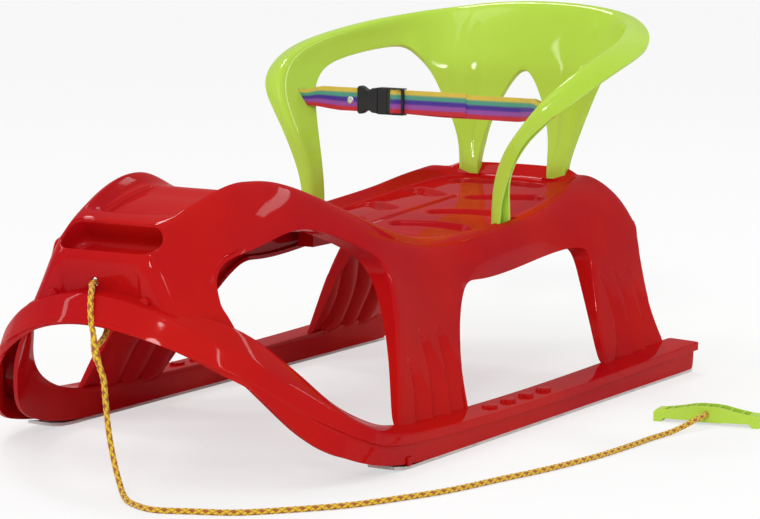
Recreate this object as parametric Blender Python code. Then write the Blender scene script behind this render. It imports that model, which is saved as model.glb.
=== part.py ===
# Child's plastic sled: one moulded body on two steel-shod runners, a plug-in backrest with a belt,
# and a pull rope with a T handle.
# Metres, +Z up. X is across the sled, the front is at -Y, and the sled stands on z = 0.

import math
import bpy
import bmesh
from mathutils import Matrix, Vector

for old in list(bpy.data.objects):
    bpy.data.objects.remove(old, do_unlink=True)

middle_y = 0.0228               # from the middle of the body to the middle of the whole sled

# Body moulding
wall = 0.0040                   # thickness of the moulded wall
lip_half_width = 0.2150         # half the width over the runner lips
runner_top_width = 0.0370       # flat top of a runner
lip_depth = 0.0100              # face of the lip under the runner's top
crease_lip = 0.7                # sharpness of moulded edges
crease_rim = 0.6
fit_gap = 0.0003                # between touching pieces

# Small forms on the body
bump_radius = 0.0050            # two bumps over the bumper band
bump_x = 0.0505
bump_y = -0.3860
bump_z = 0.1670
bump_reach = 0.0090
clip_thickness = 0.0026
clip_bottom = 0.0006
clip_top = 0.0120
grip_count = 4                  # raised ovals on each runner
grip_x = 0.1985
grip_first_y = -0.0330
grip_pitch = 0.0390
grip_half_length = 0.0090
grip_half_width = 0.0035
grip_bottom = 0.0260
grip_top = 0.0305

# Steel strips under the runners
rail_thickness = 0.0030
rail_inner = 0.1815             # from the middle of the sled to the strip's inner edge
rail_width = 0.0290
runner_foot = rail_thickness + fit_gap
rail_rear = 0.4150
rail_curl_start = -0.1880
rail_front = -0.2220
rail_curl_height = 0.0036
clip_centre = -0.1980           # place of the moulded clip along the runner
clip_length = 0.0080

# Hand slot in the cowl
slot_middle_y = -0.3725
slot_middle_z = 0.2225
slot_half_width = 0.0550
slot_half_height = 0.0160
slot_corner = 0.0130
slot_slope = math.radians(42.0)  # tilt of the slot's face from upright
slot_collar_depth = 0.0130
collar_wall = 0.0030
collar_sink = 0.0030            # the collar starts inside the cowl's wall
slot_cutter_reach = 0.0250

# Dished troughs in the seat, and the groove along its middle
trough_radius = 0.0085
trough_depth = 0.0060
trough_wall = 0.0025
trough_top = -0.0015            # the trough's own wall stays inside the seat's
trough_cutter_top = 0.0100
groove_radius = 0.0032
groove_depth = 0.0040

# Rope and the hole it is threaded through
rope_radius = 0.0025
rope_hole_radius = 0.0042
rope_hole_x = -0.0075
rope_hole_z = 0.1812
rope_hole_rear = 0.3780         # the cutter's reach towards the front
rope_hole_front = 0.3960

# Backrest
shell = 0.0036                  # thickness of the backrest moulding
arm_foot_x = 0.1070             # inner face of an arm's foot
arm_foot_front = 0.1380
arm_foot_length = 0.0260
arm_foot_top = 0.2020            # an arm is straight below this
arm_foot_depth = 0.0115         # depth of the foot's channel
arm_foot_bottom = 0.1500
leg_foot_inner = 0.0437         # rear leg's foot, across the sled
leg_foot_width = 0.0232
leg_foot_face = 0.3835          # front face of a rear leg's foot
leg_foot_depth = 0.0105
leg_foot_top = 0.2200
leg_foot_bottom = 0.1830
socket_gap = 0.0008             # clearance of a foot in its socket
arm_socket_spare = 0.0130       # the arm socket is longer than the foot, to the rear
socket_wall = 0.0030
arm_socket_rim = 0.1770         # the sockets' blocks end under the seat's skin
leg_socket_rim = 0.2060
socket_floor = 0.0030
socket_drop = 0.0010            # room under a foot

flange_top = 0.0070             # depth of the turned lower edges
face_bulge = 3.0                # millimetres, in the face of an arm
bulge_centre_y = 250.0
crease_flange = 0.6
slot_from = 0.1310              # the strap slot goes through the arm between these
slot_to = 0.1620
slot_y = 0.1835

# Belt
strap_width = 0.0250
strap_thickness = 0.0013
belt_z = 0.3000                 # height of the belt's middle
belt_front = 0.1950             # front layer, away from the arms
belt_step = 0.0018              # middle to middle of two layers
loop_rear = 0.2320              # rear layer of the loop round an arm
loop_reach = 0.1650             # outermost point of a loop
slot_clearance = 0.0010         # round a strap in its slot
layer_parts_at = 0.1010         # where the two layers spread towards the arm
end_clearance = 0.0040          # from a loose end to the buckle
rivet_x = -0.0940
rivet_head = 0.0040
rivet_shank = 0.0017
rivet_dome = 0.0011
rivet_washer = 0.0008
release_travel = 0.0180         # the plug draws out of its socket

# Buckle
buckle_height = 0.0300
buckle_thick = 0.0086
socket_left = -0.0840
socket_right = -0.0585
mouth_depth = 0.0050            # how far the strap runs into the socket
plug_left = -0.0580
plug_right = -0.0270
prong_reach = 0.0165
guide_reach = 0.0132            # the stiff tongue between the prongs
guide_half_height = 0.0022
prong_outer = 0.0092            # outer face of a prong, from the buckle's middle
prong_height = 0.0022
prong_thick = 0.0044
cavity_half_height = 0.0112
cavity_half_thick = 0.0027
window_left = -0.0725           # side windows that the prongs' buttons show in
window_right = -0.0650
button_gap = 0.0010
mouth_clearance = 0.0005
plug_body_right = -0.0470
window_width = 0.0045           # between the plug's body and its middle bar
bar_width = 0.0030
bar_thick = 0.0024
bar_clearance = 0.0006          # between a bar and the strap round it
frame_rail = 0.0013
frame_half_thick = 0.0042
tail_end = 0.0470               # loose end of the right strap
tail_gap = 0.0020               # middle to middle, between the tail and the layer behind it
rear_end = 0.0880

# Handle
handle_x = 0.3530
handle_y = 0.1440
handle_turn = math.radians(9.5)
handle_half_length = 0.0545
handle_depth = 0.0200
handle_wall = 0.0028
handle_hole_z = 0.0108
rope_way_depth = 0.0070         # how far the rope runs into the handle
handle_hole_radius = 0.0030
rib_pitch = 0.0120
rib_thickness = 0.0016
rib_count = 7
channel_half_length = 0.0430
channel_floor = 0.0062
over_channel = 0.0300           # the channel's cutters end above the handle
hook_inner = 0.0458             # from the handle's middle to the inside of a hook

# Knot
knot_centre = Vector((0.0160, -0.4185, 0.1285))
knot_radius = 0.0058


def mm(x, y, z):
    return Vector((x / 1000.0, y / 1000.0, z / 1000.0))


def new_material(name, colour, roughness, metallic=0.0):
    material = bpy.data.materials.new(name)
    material.use_nodes = True
    shader = material.node_tree.nodes["Principled BSDF"]
    shader.inputs["Base Color"].default_value = (*colour, 1.0)
    shader.inputs["Roughness"].default_value = roughness
    shader.inputs["Metallic"].default_value = metallic
    return material


red = new_material("red_plastic", (0.60, 0.012, 0.014), 0.22)
green = new_material("green_plastic", (0.36, 0.62, 0.05), 0.28)
steel = new_material("strip_steel", (0.55, 0.55, 0.54), 0.35, 1.0)
bright = new_material("rivet_metal", (0.75, 0.74, 0.72), 0.25, 1.0)
black = new_material("black_plastic", (0.015, 0.015, 0.017), 0.35)
webbing = new_material("striped_webbing", (0.20, 0.12, 0.45), 0.85)
cord = new_material("yellow_cord", (0.75, 0.38, 0.04), 0.75)


def mesh_object(name, points, faces, material):
    mesh = bpy.data.meshes.new(name)
    mesh.from_pydata([tuple(p) for p in points], [], faces)
    mesh.update()
    piece = bpy.data.objects.new(name, mesh)
    mesh.materials.append(material)
    bpy.context.collection.objects.link(piece)
    return piece


def faces_outwards(piece):
    work = bmesh.new()
    work.from_mesh(piece.data)
    bmesh.ops.recalc_face_normals(work, faces=work.faces)
    work.to_mesh(piece.data)
    work.free()


def prism(name, outline, frame, low, high, material):
    """An outline in the frame's X and Y, carried from low to high along its Z."""
    count = len(outline)
    points = [frame @ Vector((u, v, level)) for level in (low, high) for u, v in outline]
    faces = [list(range(count)), list(range(count, 2 * count))]
    faces += [[i, (i + 1) % count, count + (i + 1) % count, count + i] for i in range(count)]
    piece = mesh_object(name, points, faces, material)
    faces_outwards(piece)
    return piece


def box(name, x, y, z, material):
    outline = [(x[0], y[0]), (x[1], y[0]), (x[1], y[1]), (x[0], y[1])]
    return prism(name, outline, Matrix.Identity(4), z[0], z[1], material)


def rounded(half_width, half_height, radius, steps=3):
    outline = []
    for corner in range(4):
        sx = 1 if corner in (0, 3) else -1
        sy = 1 if corner in (0, 1) else -1
        for step in range(steps + 1):
            angle = math.pi / 2.0 * (corner + step / steps)
            outline.append((sx * (half_width - radius) + radius * math.cos(angle),
                            sy * (half_height - radius) + radius * math.sin(angle)))
    return outline


def around_y(x, y, z):
    """A frame whose Z runs towards the front of the sled."""
    return Matrix.Translation((x, y, z)) @ Matrix.Rotation(math.radians(90.0), 4, "X")


def circle(radius, count=12):
    return [(radius * math.cos(2.0 * math.pi * i / count), radius * math.sin(2.0 * math.pi * i / count))
            for i in range(count)]


def hull(name, points, material):
    work = bmesh.new()
    for point in points:
        work.verts.new(point)
    bmesh.ops.remove_doubles(work, verts=work.verts, dist=1e-6)
    result = bmesh.ops.convex_hull(work, input=work.verts)
    spare = [item for item in result["geom_interior"] if isinstance(item, bmesh.types.BMVert)]
    bmesh.ops.delete(work, geom=spare, context="VERTS")
    mesh = bpy.data.meshes.new(name)
    work.to_mesh(mesh)
    work.free()
    mesh.materials.append(material)
    piece = bpy.data.objects.new(name, mesh)
    bpy.context.collection.objects.link(piece)
    faces_outwards(piece)
    return piece


groups = {}                     # the Boolean tools of each piece


def hide(tool):
    tool.hide_render = True
    tool.display_type = "WIRE"


def put_in(piece, kind, tool):
    hide(tool)
    name = piece.name + "_" + kind
    if name not in groups:
        groups[name] = bpy.data.collections.new(name)
        bpy.context.scene.collection.children.link(groups[name])
    for owner in list(tool.users_collection):
        owner.objects.unlink(tool)
    groups[name].objects.link(tool)


def join(piece, tool):
    put_in(piece, "additions", tool)


def cut(piece, tool):
    put_in(piece, "removals", tool)


def finish_shape(piece):
    """Unions with everything joined to the piece, then takes away everything cut from it."""
    for kind, operation in (("additions", "UNION"), ("removals", "DIFFERENCE")):
        group = groups.get(piece.name + "_" + kind)
        if group:
            step = piece.modifiers.new(kind, "BOOLEAN")
            step.operation = operation
            step.operand_type = "COLLECTION"
            step.collection = group
            step.solver = "EXACT"


# Stations of the body's top and sides, front to rear, in millimetres. Each row runs from the middle
# outwards: five points over the deck, the rim's crest, the bulge of the side and the upper edge of the
# side opening. Leg stations go on down to the runner.
stations = [
    # foot of the front face, behind the bumper band
    [(0, -387, 158), (20, -387, 158), (38, -387, 158), (52, -387, 158), (66, -387, 156), (76, -386, 153),
     (95, -373, 142), (122, -328, 122)],
    # front face
    [(0, -388, 185), (17, -388, 185), (33, -388, 185), (45, -388, 185), (56, -387, 185), (62, -384, 185),
     (76, -372, 177), (102, -341, 160)],
    # lower lip of the hand slot
    [(0, -389, 211), (16, -389, 211), (30, -389, 211), (42, -388, 211), (49, -386, 210), (54, -382, 209),
     (71, -364, 201), (92, -339, 186)],
    # upper lip of the hand slot
    [(0, -361, 234), (16, -361, 234), (30, -361, 234), (43, -362, 234), (50, -362, 232), (55, -359, 228),
     (72, -347, 216), (96, -329, 199)],
    # front crest of the recessed panel
    [(0, -340, 239), (17, -340, 239), (32, -340, 239), (43, -340, 241), (51, -340, 241), (58, -341, 237),
     (77, -330, 221), (100, -322, 203)],
    # front edge of the recessed panel
    [(0, -331, 232), (17, -331, 232), (33, -331, 232), (43, -330, 235), (52, -329, 245), (61, -329, 241),
     (82, -317, 223), (101, -306, 205)],
    # panel
    [(0, -288, 247), (22, -288, 247), (42, -288, 247), (50, -288, 248), (59, -287, 260), (69, -286, 257),
     (88, -284, 235), (103, -276, 209)],
    # rear edge of the panel
    [(0, -240, 254), (24, -240, 254), (45, -240, 254), (53, -240, 256), (63, -240, 267), (73, -240, 263),
     (92, -240, 240), (104, -236, 218)],
    # crest
    [(0, -200, 246), (26, -200, 246), (48, -200, 247), (60, -200, 252), (73, -200, 260), (84, -200, 256),
     (100, -200, 236), (108, -200, 218)],
    # neck
    [(0, -150, 230), (28, -150, 230), (55, -150, 231), (72, -150, 234), (86, -150, 239), (99, -150, 235),
     (111, -150, 216), (117, -150, 200)],
    # front of the front leg
    [(0, -90, 206), (30, -90, 206), (60, -90, 207), (80, -90, 211), (95, -90, 214), (108, -90, 210),
     (123, -92, 194), (133, -106, 178), (152, -119, 145), (171, -150, 90), (187, -175, 32)],
    # middle of the front leg
    [(0, -30, 189), (32, -30, 189), (65, -30, 190), (86, -30, 191), (102, -30, 192), (116, -30, 188),
     (131, -30, 172), (139, -36, 149), (151, -54, 112), (169, -82, 74), (187, -98, 28.5)],
    # front rim of the seat, and the rear of the front leg
    [(0, 30, 184), (35, 30, 184), (70, 30, 184), (92, 31, 184), (107, 32, 184), (120, 33, 181),
     (133, 38, 166), (138, 37, 142), (150, 4, 112), (167, -22, 68), (187, -40, 27.5)],
    # front edge of the seat pan
    [(0, 43, 180), (35, 43, 180), (70, 44, 179), (96, 47, 175), (110, 50, 184), (124, 54, 181),
     (136, 58, 166), (138, 61, 139)],
    [(0, 100, 187), (36, 100, 186), (73, 100, 183), (102, 100, 176), (114, 100, 185), (127, 100, 182),
     (138, 100, 166), (138, 100, 138)],
    [(0, 160, 190), (36, 160, 190), (74, 160, 187), (104, 160, 179), (116, 160, 188), (128, 160, 185),
     (138, 160, 169), (138, 160, 142)],
    [(0, 220, 194), (35, 220, 193), (71, 220, 190), (102, 220, 184), (113, 220, 193), (125, 220, 190),
     (137, 220, 174), (138, 220, 148)],
    # front of the rear leg
    [(0, 275, 197), (33, 275, 196), (67, 275, 194), (95, 275, 190), (106, 275, 199), (118, 275, 196),
     (136, 280, 180), (149, 289, 152), (163, 270, 116), (175, 257, 68), (187, 252, 28.5)],
    [(0, 325, 200), (31, 325, 200), (63, 325, 198), (90, 325, 196), (101, 325, 208), (113, 325, 205),
     (137, 326, 187), (151, 325, 152), (163, 320, 114), (174, 318, 68), (187, 312, 29.5)],
    # rear edge of the seat pan
    [(0, 389, 204), (28, 387, 204), (54, 381, 203), (78, 370, 203), (91, 367, 214), (103, 366, 211),
     (135, 366, 192), (152, 366, 152), (161, 366, 112), (172, 366, 68), (187, 362, 30.5)],
    # rear rim, and the rear of the rear leg
    [(0, 402, 218), (30, 400, 218), (58, 393, 218), (80, 387, 217), (96, 383, 215), (112, 385, 210),
     (136, 391, 189), (151, 394, 151), (159, 393, 112), (169, 394, 68), (186, 396, 31.5)],
    # rear skirt
    [(0, 414, 199), (33, 412, 199), (62, 407, 198), (85, 401, 196), (100, 400, 194), (114, 402, 189),
     (134, 404, 174), (146, 404, 158)],
    [(0, 419, 168), (35, 418, 168), (66, 414, 167), (88, 411, 166), (101, 411, 165), (113, 411, 164),
     (128, 410, 162), (138, 408, 160)],
]
lower_row = 10


def body_cage():
    points = []
    index = {}
    for column, station in enumerate(stations):
        for row, (x, y, z) in enumerate(station):
            index[column, row] = len(points)
            points.append(mm(x, y, z))
    faces = []
    for column in range(len(stations) - 1):
        for row in range(lower_row):
            corners = [(column, row), (column, row + 1), (column + 1, row + 1), (column + 1, row)]
            if all(corner in index for corner in corners):
                faces.append([index[corner] for corner in corners])
    return points, faces, index


def set_creases(mesh, edges, value):
    layer = mesh.attributes.get("crease_edge") or mesh.attributes.new("crease_edge", "FLOAT", "EDGE")
    wanted = {tuple(sorted(edge)) for edge in edges}
    for edge in mesh.edges:
        if tuple(sorted(edge.vertices)) in wanted:
            layer.data[edge.index].value = value


def share(value, low, high):
    return min(max((value - low) / (high - low), 0.0), 1.0)


def opening_return(p):
    """How far, and which way, the edge of an opening turns inwards at a point."""
    x, y, z = p.x * 1000.0, p.y * 1000.0, p.z * 1000.0
    if y > 380.0 and z > 155.0:
        turn = share(x, 120.0, 150.0)
        return Vector((-0.009 * turn, -0.010 + 0.003 * turn, 0.0))
    if y < -320.0:
        depth = 9.0 + 4.0 * share(z, 125.0, 160.0)
    elif y < -95.0:
        depth = 9.0 + 19.0 * share(z, 105.0, 172.0)
    elif y < 45.0:
        depth = 9.0
    elif y < 240.0:
        depth = 9.0
    elif y < 300.0:
        depth = 9.0 + 17.0 * share(z, 65.0, 150.0)
    elif y < 380.0:
        depth = 12.0
    else:
        depth = 9.0 + 4.0 * share(z, 60.0, 150.0)
    return Vector((-depth / 1000.0, 0.0, 0.0))


def add_returns(points, faces):
    """Turns the edges of the side openings inwards, deep at the top and running out down the legs."""
    count = {}
    for face in faces:
        for a, b in zip(face, face[1:] + face[:1]):
            count[frozenset((a, b))] = count.get(frozenset((a, b)), 0) + 1
    rim = []
    for face in faces:
        for a, b in zip(face, face[1:] + face[:1]):
            if count[frozenset((a, b))] == 1 and max(points[a].x, points[b].x) > 1e-6:
                rim.append((a, b))
    turned = {}
    creased = []
    for a, b in rim:
        if max(points[a].z, points[b].z) < 0.035 or max(points[a].y, points[b].y) < -0.372:
            continue
        if points[a].y < -0.32 and points[b].y < -0.32 and min(points[a].z, points[b].z) < 0.13:
            continue
        for vertex in (a, b):
            if vertex not in turned:
                turned[vertex] = len(points)
                points.append(points[vertex] + opening_return(points[vertex]))
        faces.append([b, a, turned[a], turned[b]])
        creased.append((a, b))
    return creased


# Stations of the runner, horn and bumper band, rear to front. Each is: foot of the inner wall, inner
# edge of the top, outer edge of the top, crease under the lip, foot of the outer wall.
def runner_station(y, top, bank=0.0, foot=runner_foot * 1000.0, set_back=0.0):
    outer = lip_half_width * 1000.0
    inner = outer - runner_top_width * 1000.0
    return [(inner + 2.0, y - set_back, foot), (inner, y, top + bank), (outer, y, top),
            (outer - 0.4, y, top - lip_depth * 1000.0), (outer - 2.0, y - set_back, foot)]


runner = [
    runner_station(420, 32.5, 1.5, runner_foot * 1000.0, 6.0), runner_station(408, 32.5, 1.5),
    runner_station(360, 31.5, 1.5),
    runner_station(270, 29.5, 1.5), runner_station(180, 28.0, 1.5), runner_station(60, 27.0, 1.5),
    runner_station(-60, 28.5, 1.5), runner_station(-130, 30.5, 1.5), runner_station(-185, 33.0, 2.5, 3.6),
    [(183, -228, 9), (180, -220, 45), (214, -235, 38), (214.5, -236, 27), (213, -234, 9)],
    [(173, -268, 20), (167, -263, 67), (206, -265, 51), (208, -267, 38), (209, -266, 16)],
    [(165, -292, 33), (155, -284, 91), (193, -285, 63), (196, -286, 48), (198, -289, 26)],
    [(153, -312, 50), (140, -300, 112), (176, -305, 79), (180, -307, 61), (184, -312, 36)],
    [(138, -332, 76), (126, -319, 131), (158, -325, 95), (162, -328, 79), (167, -334, 62)],
    [(120, -350, 101), (113, -343, 147), (142, -348, 117), (147, -351, 97), (149, -354, 91)],
    [(101, -362, 125), (96, -361, 155), (118, -369, 132), (125, -374, 110), (124, -370, 104)],
    [(76, -374, 142), (72, -375, 163), (85, -390, 154), (94, -395, 126), (92, -387, 124)],
    [(42, -378, 160), (42, -379, 170), (46, -402, 169), (53, -414, 142), (53, -407, 140)],
    [(0, -378, 167), (0, -379, 176), (0, -407, 176), (0, -422, 152), (0, -416, 149)],
]


def runner_cage():
    points = []
    faces = []
    rows = len(runner[0])
    for station in runner:
        points += [mm(*p) for p in station]
    for column in range(len(runner) - 1):
        for row in range(rows - 1):
            a = column * rows + row
            faces.append([a, a + rows, a + 1 + rows, a + 1])
    edges = []
    for row in (1, 2):
        edges += [(column * rows + row, (column + 1) * rows + row) for column in range(len(runner) - 1)]
    edges += [(row, row + 1) for row in range(rows - 1)]
    return points, faces, edges


kept_share = 0.62               # of the smoothed faces


def shell_modifiers(piece, levels, thickness):
    mirror = piece.modifiers.new("mirror", "MIRROR")
    mirror.merge_threshold = 0.0001
    smooth = piece.modifiers.new("smooth", "SUBSURF")
    smooth.levels = levels
    smooth.render_levels = levels
    fewer = piece.modifiers.new("fewer", "DECIMATE")
    fewer.ratio = kept_share
    fewer.use_symmetry = True
    thick = piece.modifiers.new("wall", "SOLIDIFY")
    thick.thickness = thickness
    thick.offset = -1.0


points, faces, index = body_cage()
creased = add_returns(points, faces)
body = mesh_object("sled_body", points, faces, red)
set_creases(body.data, creased, crease_lip)
rim_edges = [(index[c, r], index[c + 1, r]) for c in range(4, 7) for r in (3, 4)]
rim_edges += [(index[c, r], index[c + 1, r]) for c in range(12, 19) for r in (3, 4)]
rim_edges += [(index[c, r], index[c, r + 1]) for c in (4, 5, 12, 13, 19, 20) for r in range(3)]
set_creases(body.data, rim_edges, crease_rim)
shell_modifiers(body, 1, wall)

points, faces, edges = runner_cage()
runners = mesh_object("runners_and_bumper", points, faces, red)
set_creases(runners.data, edges, crease_lip)
shell_modifiers(runners, 1, wall)
join(body, runners)

# Collar and opening of the hand slot. The slot's face leans back by its slope.
slot_frame = Matrix.Translation((0.0, slot_middle_y, slot_middle_z)) @ Matrix.Rotation(slot_slope, 4, "X")
collar = prism("slot_collar", rounded(slot_half_width + collar_wall, slot_half_height + collar_wall,
                                      slot_corner + collar_wall),
               slot_frame, -slot_collar_depth, -collar_sink, red)
join(body, collar)
slot = prism("slot_opening", rounded(slot_half_width, slot_half_height, slot_corner),
             slot_frame, -slot_cutter_reach, slot_cutter_reach, red)
cut(body, slot)

# Hole for the rope, over the bumper band
rope_hole = prism("rope_hole", circle(rope_hole_radius), around_y(rope_hole_x, 0.0, rope_hole_z),
                  rope_hole_rear, rope_hole_front, red)
cut(body, rope_hole)


# Troughs in the seat: two ends of each, in millimetres, its half width and its depth
def half_capsule(start, end, radius, depth, top):
    """Points of a long dish hanging under the line from start to end."""
    along = (end - start).normalized()
    side = Vector((-along.y, along.x, 0.0)).normalized()
    cloud = []
    for place, sign in ((start, -1.0), (end, 1.0)):
        for i in range(5):
            angle = math.pi * (i / 4.0 - 0.5)
            out = along * sign * math.cos(angle) * radius + side * math.sin(angle) * radius
            cloud.append(place + out + Vector((0.0, 0.0, top)))
            cloud.append(place + out * 0.94 - Vector((0.0, 0.0, depth * 0.45)))
            cloud.append(place + out * 0.60 - Vector((0.0, 0.0, depth)))
    return cloud


slanted_troughs = [((15, 100, 187), (92, 133, 183)), ((15, 172, 190.5), (92, 208, 187)),
                   ((15, 250, 195), (88, 286, 192))]
troughs = [(mm(-52, 352, 201), mm(52, 352, 201), trough_radius, trough_depth),
           (mm(0, 84, 186), mm(0, 255, 196), groove_radius, groove_depth)]
for start, end in slanted_troughs:
    for side in (-1, 1):
        troughs.append((mm(side * start[0], start[1], start[2]), mm(side * end[0], end[1], end[2]),
                        trough_radius, trough_depth))
for number, (start, end, radius, depth) in enumerate(troughs):
    outside = hull("trough_wall_%d" % number, half_capsule(start, end, radius + trough_wall,
                                                           depth + trough_wall, trough_top), red)
    join(body, outside)
for number, (start, end, radius, depth) in enumerate(troughs):
    inside = hull("trough_%d" % number, half_capsule(start, end, radius, depth, trough_cutter_top), red)
    cut(body, inside)

# Sockets for the backrest's feet: a box hanging under the rim, then the room for the foot
for side, label in ((-1, "left"), (1, "right")):
    inner = side * (arm_foot_x - socket_gap)
    outer = side * (arm_foot_x + arm_foot_depth + socket_gap)
    y_range = (arm_foot_front - socket_gap, arm_foot_front + arm_foot_length + arm_socket_spare)
    floor = arm_foot_bottom - socket_drop
    block = box("arm_socket_block_" + label, sorted((inner - side * socket_wall, outer + side * 0.0042)),
                (y_range[0] - socket_wall, y_range[1] + socket_wall), (floor - socket_floor, arm_socket_rim), red)
    join(body, block)
    room = box("arm_socket_room_" + label, sorted((inner, outer)), y_range, (floor, arm_foot_top), red)
    cut(body, room)
    x_range = sorted((side * (leg_foot_inner - socket_gap),
                      side * (leg_foot_inner + leg_foot_width + socket_gap)))
    y_range = (leg_foot_face - socket_gap, leg_foot_face + leg_foot_depth + socket_gap)
    floor = leg_foot_bottom - socket_drop
    block = box("leg_socket_block_" + label, (x_range[0] - socket_wall, x_range[1] + socket_wall),
                (y_range[0] - socket_wall, y_range[1] + 0.0020), (floor - socket_floor, leg_socket_rim), red)
    join(body, block)
    room = box("leg_socket_room_" + label, x_range, y_range, (floor, leg_foot_top), red)
    cut(body, room)

# Two bumps over the bumper band, and the clip and the foot grips of each runner
for side, label in ((-1, "left"), (1, "right")):
    join(body, prism("bump_" + label, circle(bump_radius), around_y(side * bump_x, bump_y, bump_z),
                     0.0, bump_reach, red))
    strip_edge = rail_inner + rail_width + fit_gap
    clip_x = sorted((side * strip_edge, side * (strip_edge + clip_thickness)))
    clip_y = (clip_centre - clip_length / 2.0, clip_centre + clip_length / 2.0)
    join(body, box("clip_" + label, clip_x, clip_y, (clip_bottom, clip_top), red))
    for number in range(grip_count):
        middle = Matrix.Translation((side * grip_x, grip_first_y + number * grip_pitch, 0.0))
        join(body, prism("grip_%s_%d" % (label, number), rounded(grip_half_length, grip_half_width,
                                                                 grip_half_width * 0.95),
                         middle, grip_bottom, grip_top, red))
finish_shape(body)


# Steel strips: flat under the runners, curling up at the front
for side, label in ((-1, "left"), (1, "right")):
    path = [(rail_rear, 0.0), (rail_curl_start, 0.0), (rail_curl_start - 0.016, 0.0008),
            (rail_front, rail_curl_height)]
    outline = path + [(y, z + rail_thickness) for y, z in reversed(path)]
    across = Matrix(((0.0, 0.0, 1.0, 0.0), (1.0, 0.0, 0.0, 0.0), (0.0, 1.0, 0.0, 0.0), (0.0, 0.0, 0.0, 1.0)))
    low, high = sorted((side * rail_inner, side * (rail_inner + rail_width)))
    prism("runner_rail_" + label, outline, across, low, high, steel)


# Backrest: half of its sheet as rows of points in millimetres. Panel rows run from the middle outwards:
# the far edge of the rolled rim, the fold at the top of the face, the face, its lower edge.
panel = [
    [(0, 462, 396), (36, 460, 395), (74, 457, 392), (106, 449, 387)],
    [(0, 447, 397), (36, 446, 396), (70, 442, 394), (100, 434, 389)],
    [(0, 428, 362), (34, 427, 361), (66, 422, 359), (103, 410, 356)],
    [(0, 411, 334), (31, 408, 328), (66, 402, 326), (108, 384, 324)],
]
# Stations along an arm, from the panel to the foot: edge of the rolled rim, fold, rear or lower edge
arm = [
    [(133, 425, 382), (118, 416, 388), (118, 376, 339)],
    [(160, 391, 376), (135, 390, 384), (129, 374, 346)],
    [(187, 346, 369), (151, 350, 379), (139, 369, 347)],
    [(203, 306, 360), (166, 305, 371), (153, 338, 343)],
    [(208, 271, 353), (173, 267, 366), (162, 301, 338)],
    [(207, 232, 343), (174, 217, 354), (165, 265, 331)],
    [(200, 194, 328), (172, 185, 343), (160, 238, 322)],
    [(190, 172, 314), (163, 155, 325), (151, 214, 309)],
    [(175, 156, 300), (151, 140, 307), (141, 200, 293)],
    [(152, 142, 278), (133, 132, 277), (128, 182, 277)],
    [(139, 138, 259), (120, 134, 258), (117, 169, 258)],
    [(126, 139, 229), (109, 139, 229), (107, 160, 229)],
]
# Rows down a rear leg, from its inner edge outwards
leg = [
    [(23, 405, 298), (45, 404, 300), (70, 399, 301), (97, 386, 303)],
    [(37, 396, 266), (50, 396, 266), (66, 394, 266), (80, 389, 267)],
    [(42, 390, 240), (51, 391, 240), (60, 390, 240), (70, 387, 241)],
]


def backrest_cage():
    """Points, faces, and the vertices of the rim's free edge and of the feet's lower ends."""
    points = []
    faces = []

    def row_of(places):
        first = len(points)
        points.extend(mm(*p) for p in places)
        return list(range(first, first + len(places)))

    def strip(upper, lower):
        for a, b, c, d in zip(upper, upper[1:], lower[1:], lower):
            faces.append([a, d, c, b])

    rows = [row_of(row) for row in panel]
    for upper, lower in zip(rows, rows[1:]):
        strip(upper, lower)
    rim = set(rows[0])
    edge = [row[-1] for row in rows]
    foot = [arm_foot_x * 1000.0, arm_foot_front * 1000.0, arm_foot_length * 1000.0, arm_foot_depth * 1000.0]
    stations_down = [list(station) for station in arm]
    for z in (arm_foot_top * 1000.0, arm_foot_bottom * 1000.0):
        stations_down.append([(foot[0] + foot[3], foot[1], z), (foot[0], foot[1], z),
                              (foot[0], foot[1] + foot[2], z)])
    for outer, fold, lower in stations_down:
        # the face of an arm bulges a little, away from the child
        away = Vector(((fold[0] + lower[0]) / 2.0, (fold[1] + lower[1]) / 2.0 - bulge_centre_y, 0.0))
        away = away.normalized() * face_bulge * share(fold[2], arm_foot_top * 1000.0, 260.0)
        middle = (Vector(fold) + Vector(lower)) / 2.0 + away
        following = row_of([outer, fold, tuple(middle), lower])
        for a, b, c, d in zip(edge, edge[1:], following[1:], following):
            faces.append([a, b, c, d])
        rim.add(following[0])
        edge = following
    feet = set(edge)
    inner = leg_foot_inner * 1000.0
    width = leg_foot_width * 1000.0
    face = leg_foot_face * 1000.0
    legs = [row_of(row) for row in leg]
    for z in (leg_foot_top * 1000.0, 206.0, leg_foot_bottom * 1000.0):
        legs.append(row_of([(inner + width * part / 3.0, face, z) for part in range(4)]))
    strip(rows[-1], legs[0])
    for upper, lower in zip(legs, legs[1:]):
        strip(upper, lower)
    feet.update(legs[-1])
    return points, faces, rim, feet


def flange_depth(p):
    foot = arm_foot_depth if p.y < 0.300 else leg_foot_depth
    return foot + (flange_top - foot) * share(p.z, 0.225, 0.280)


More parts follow.
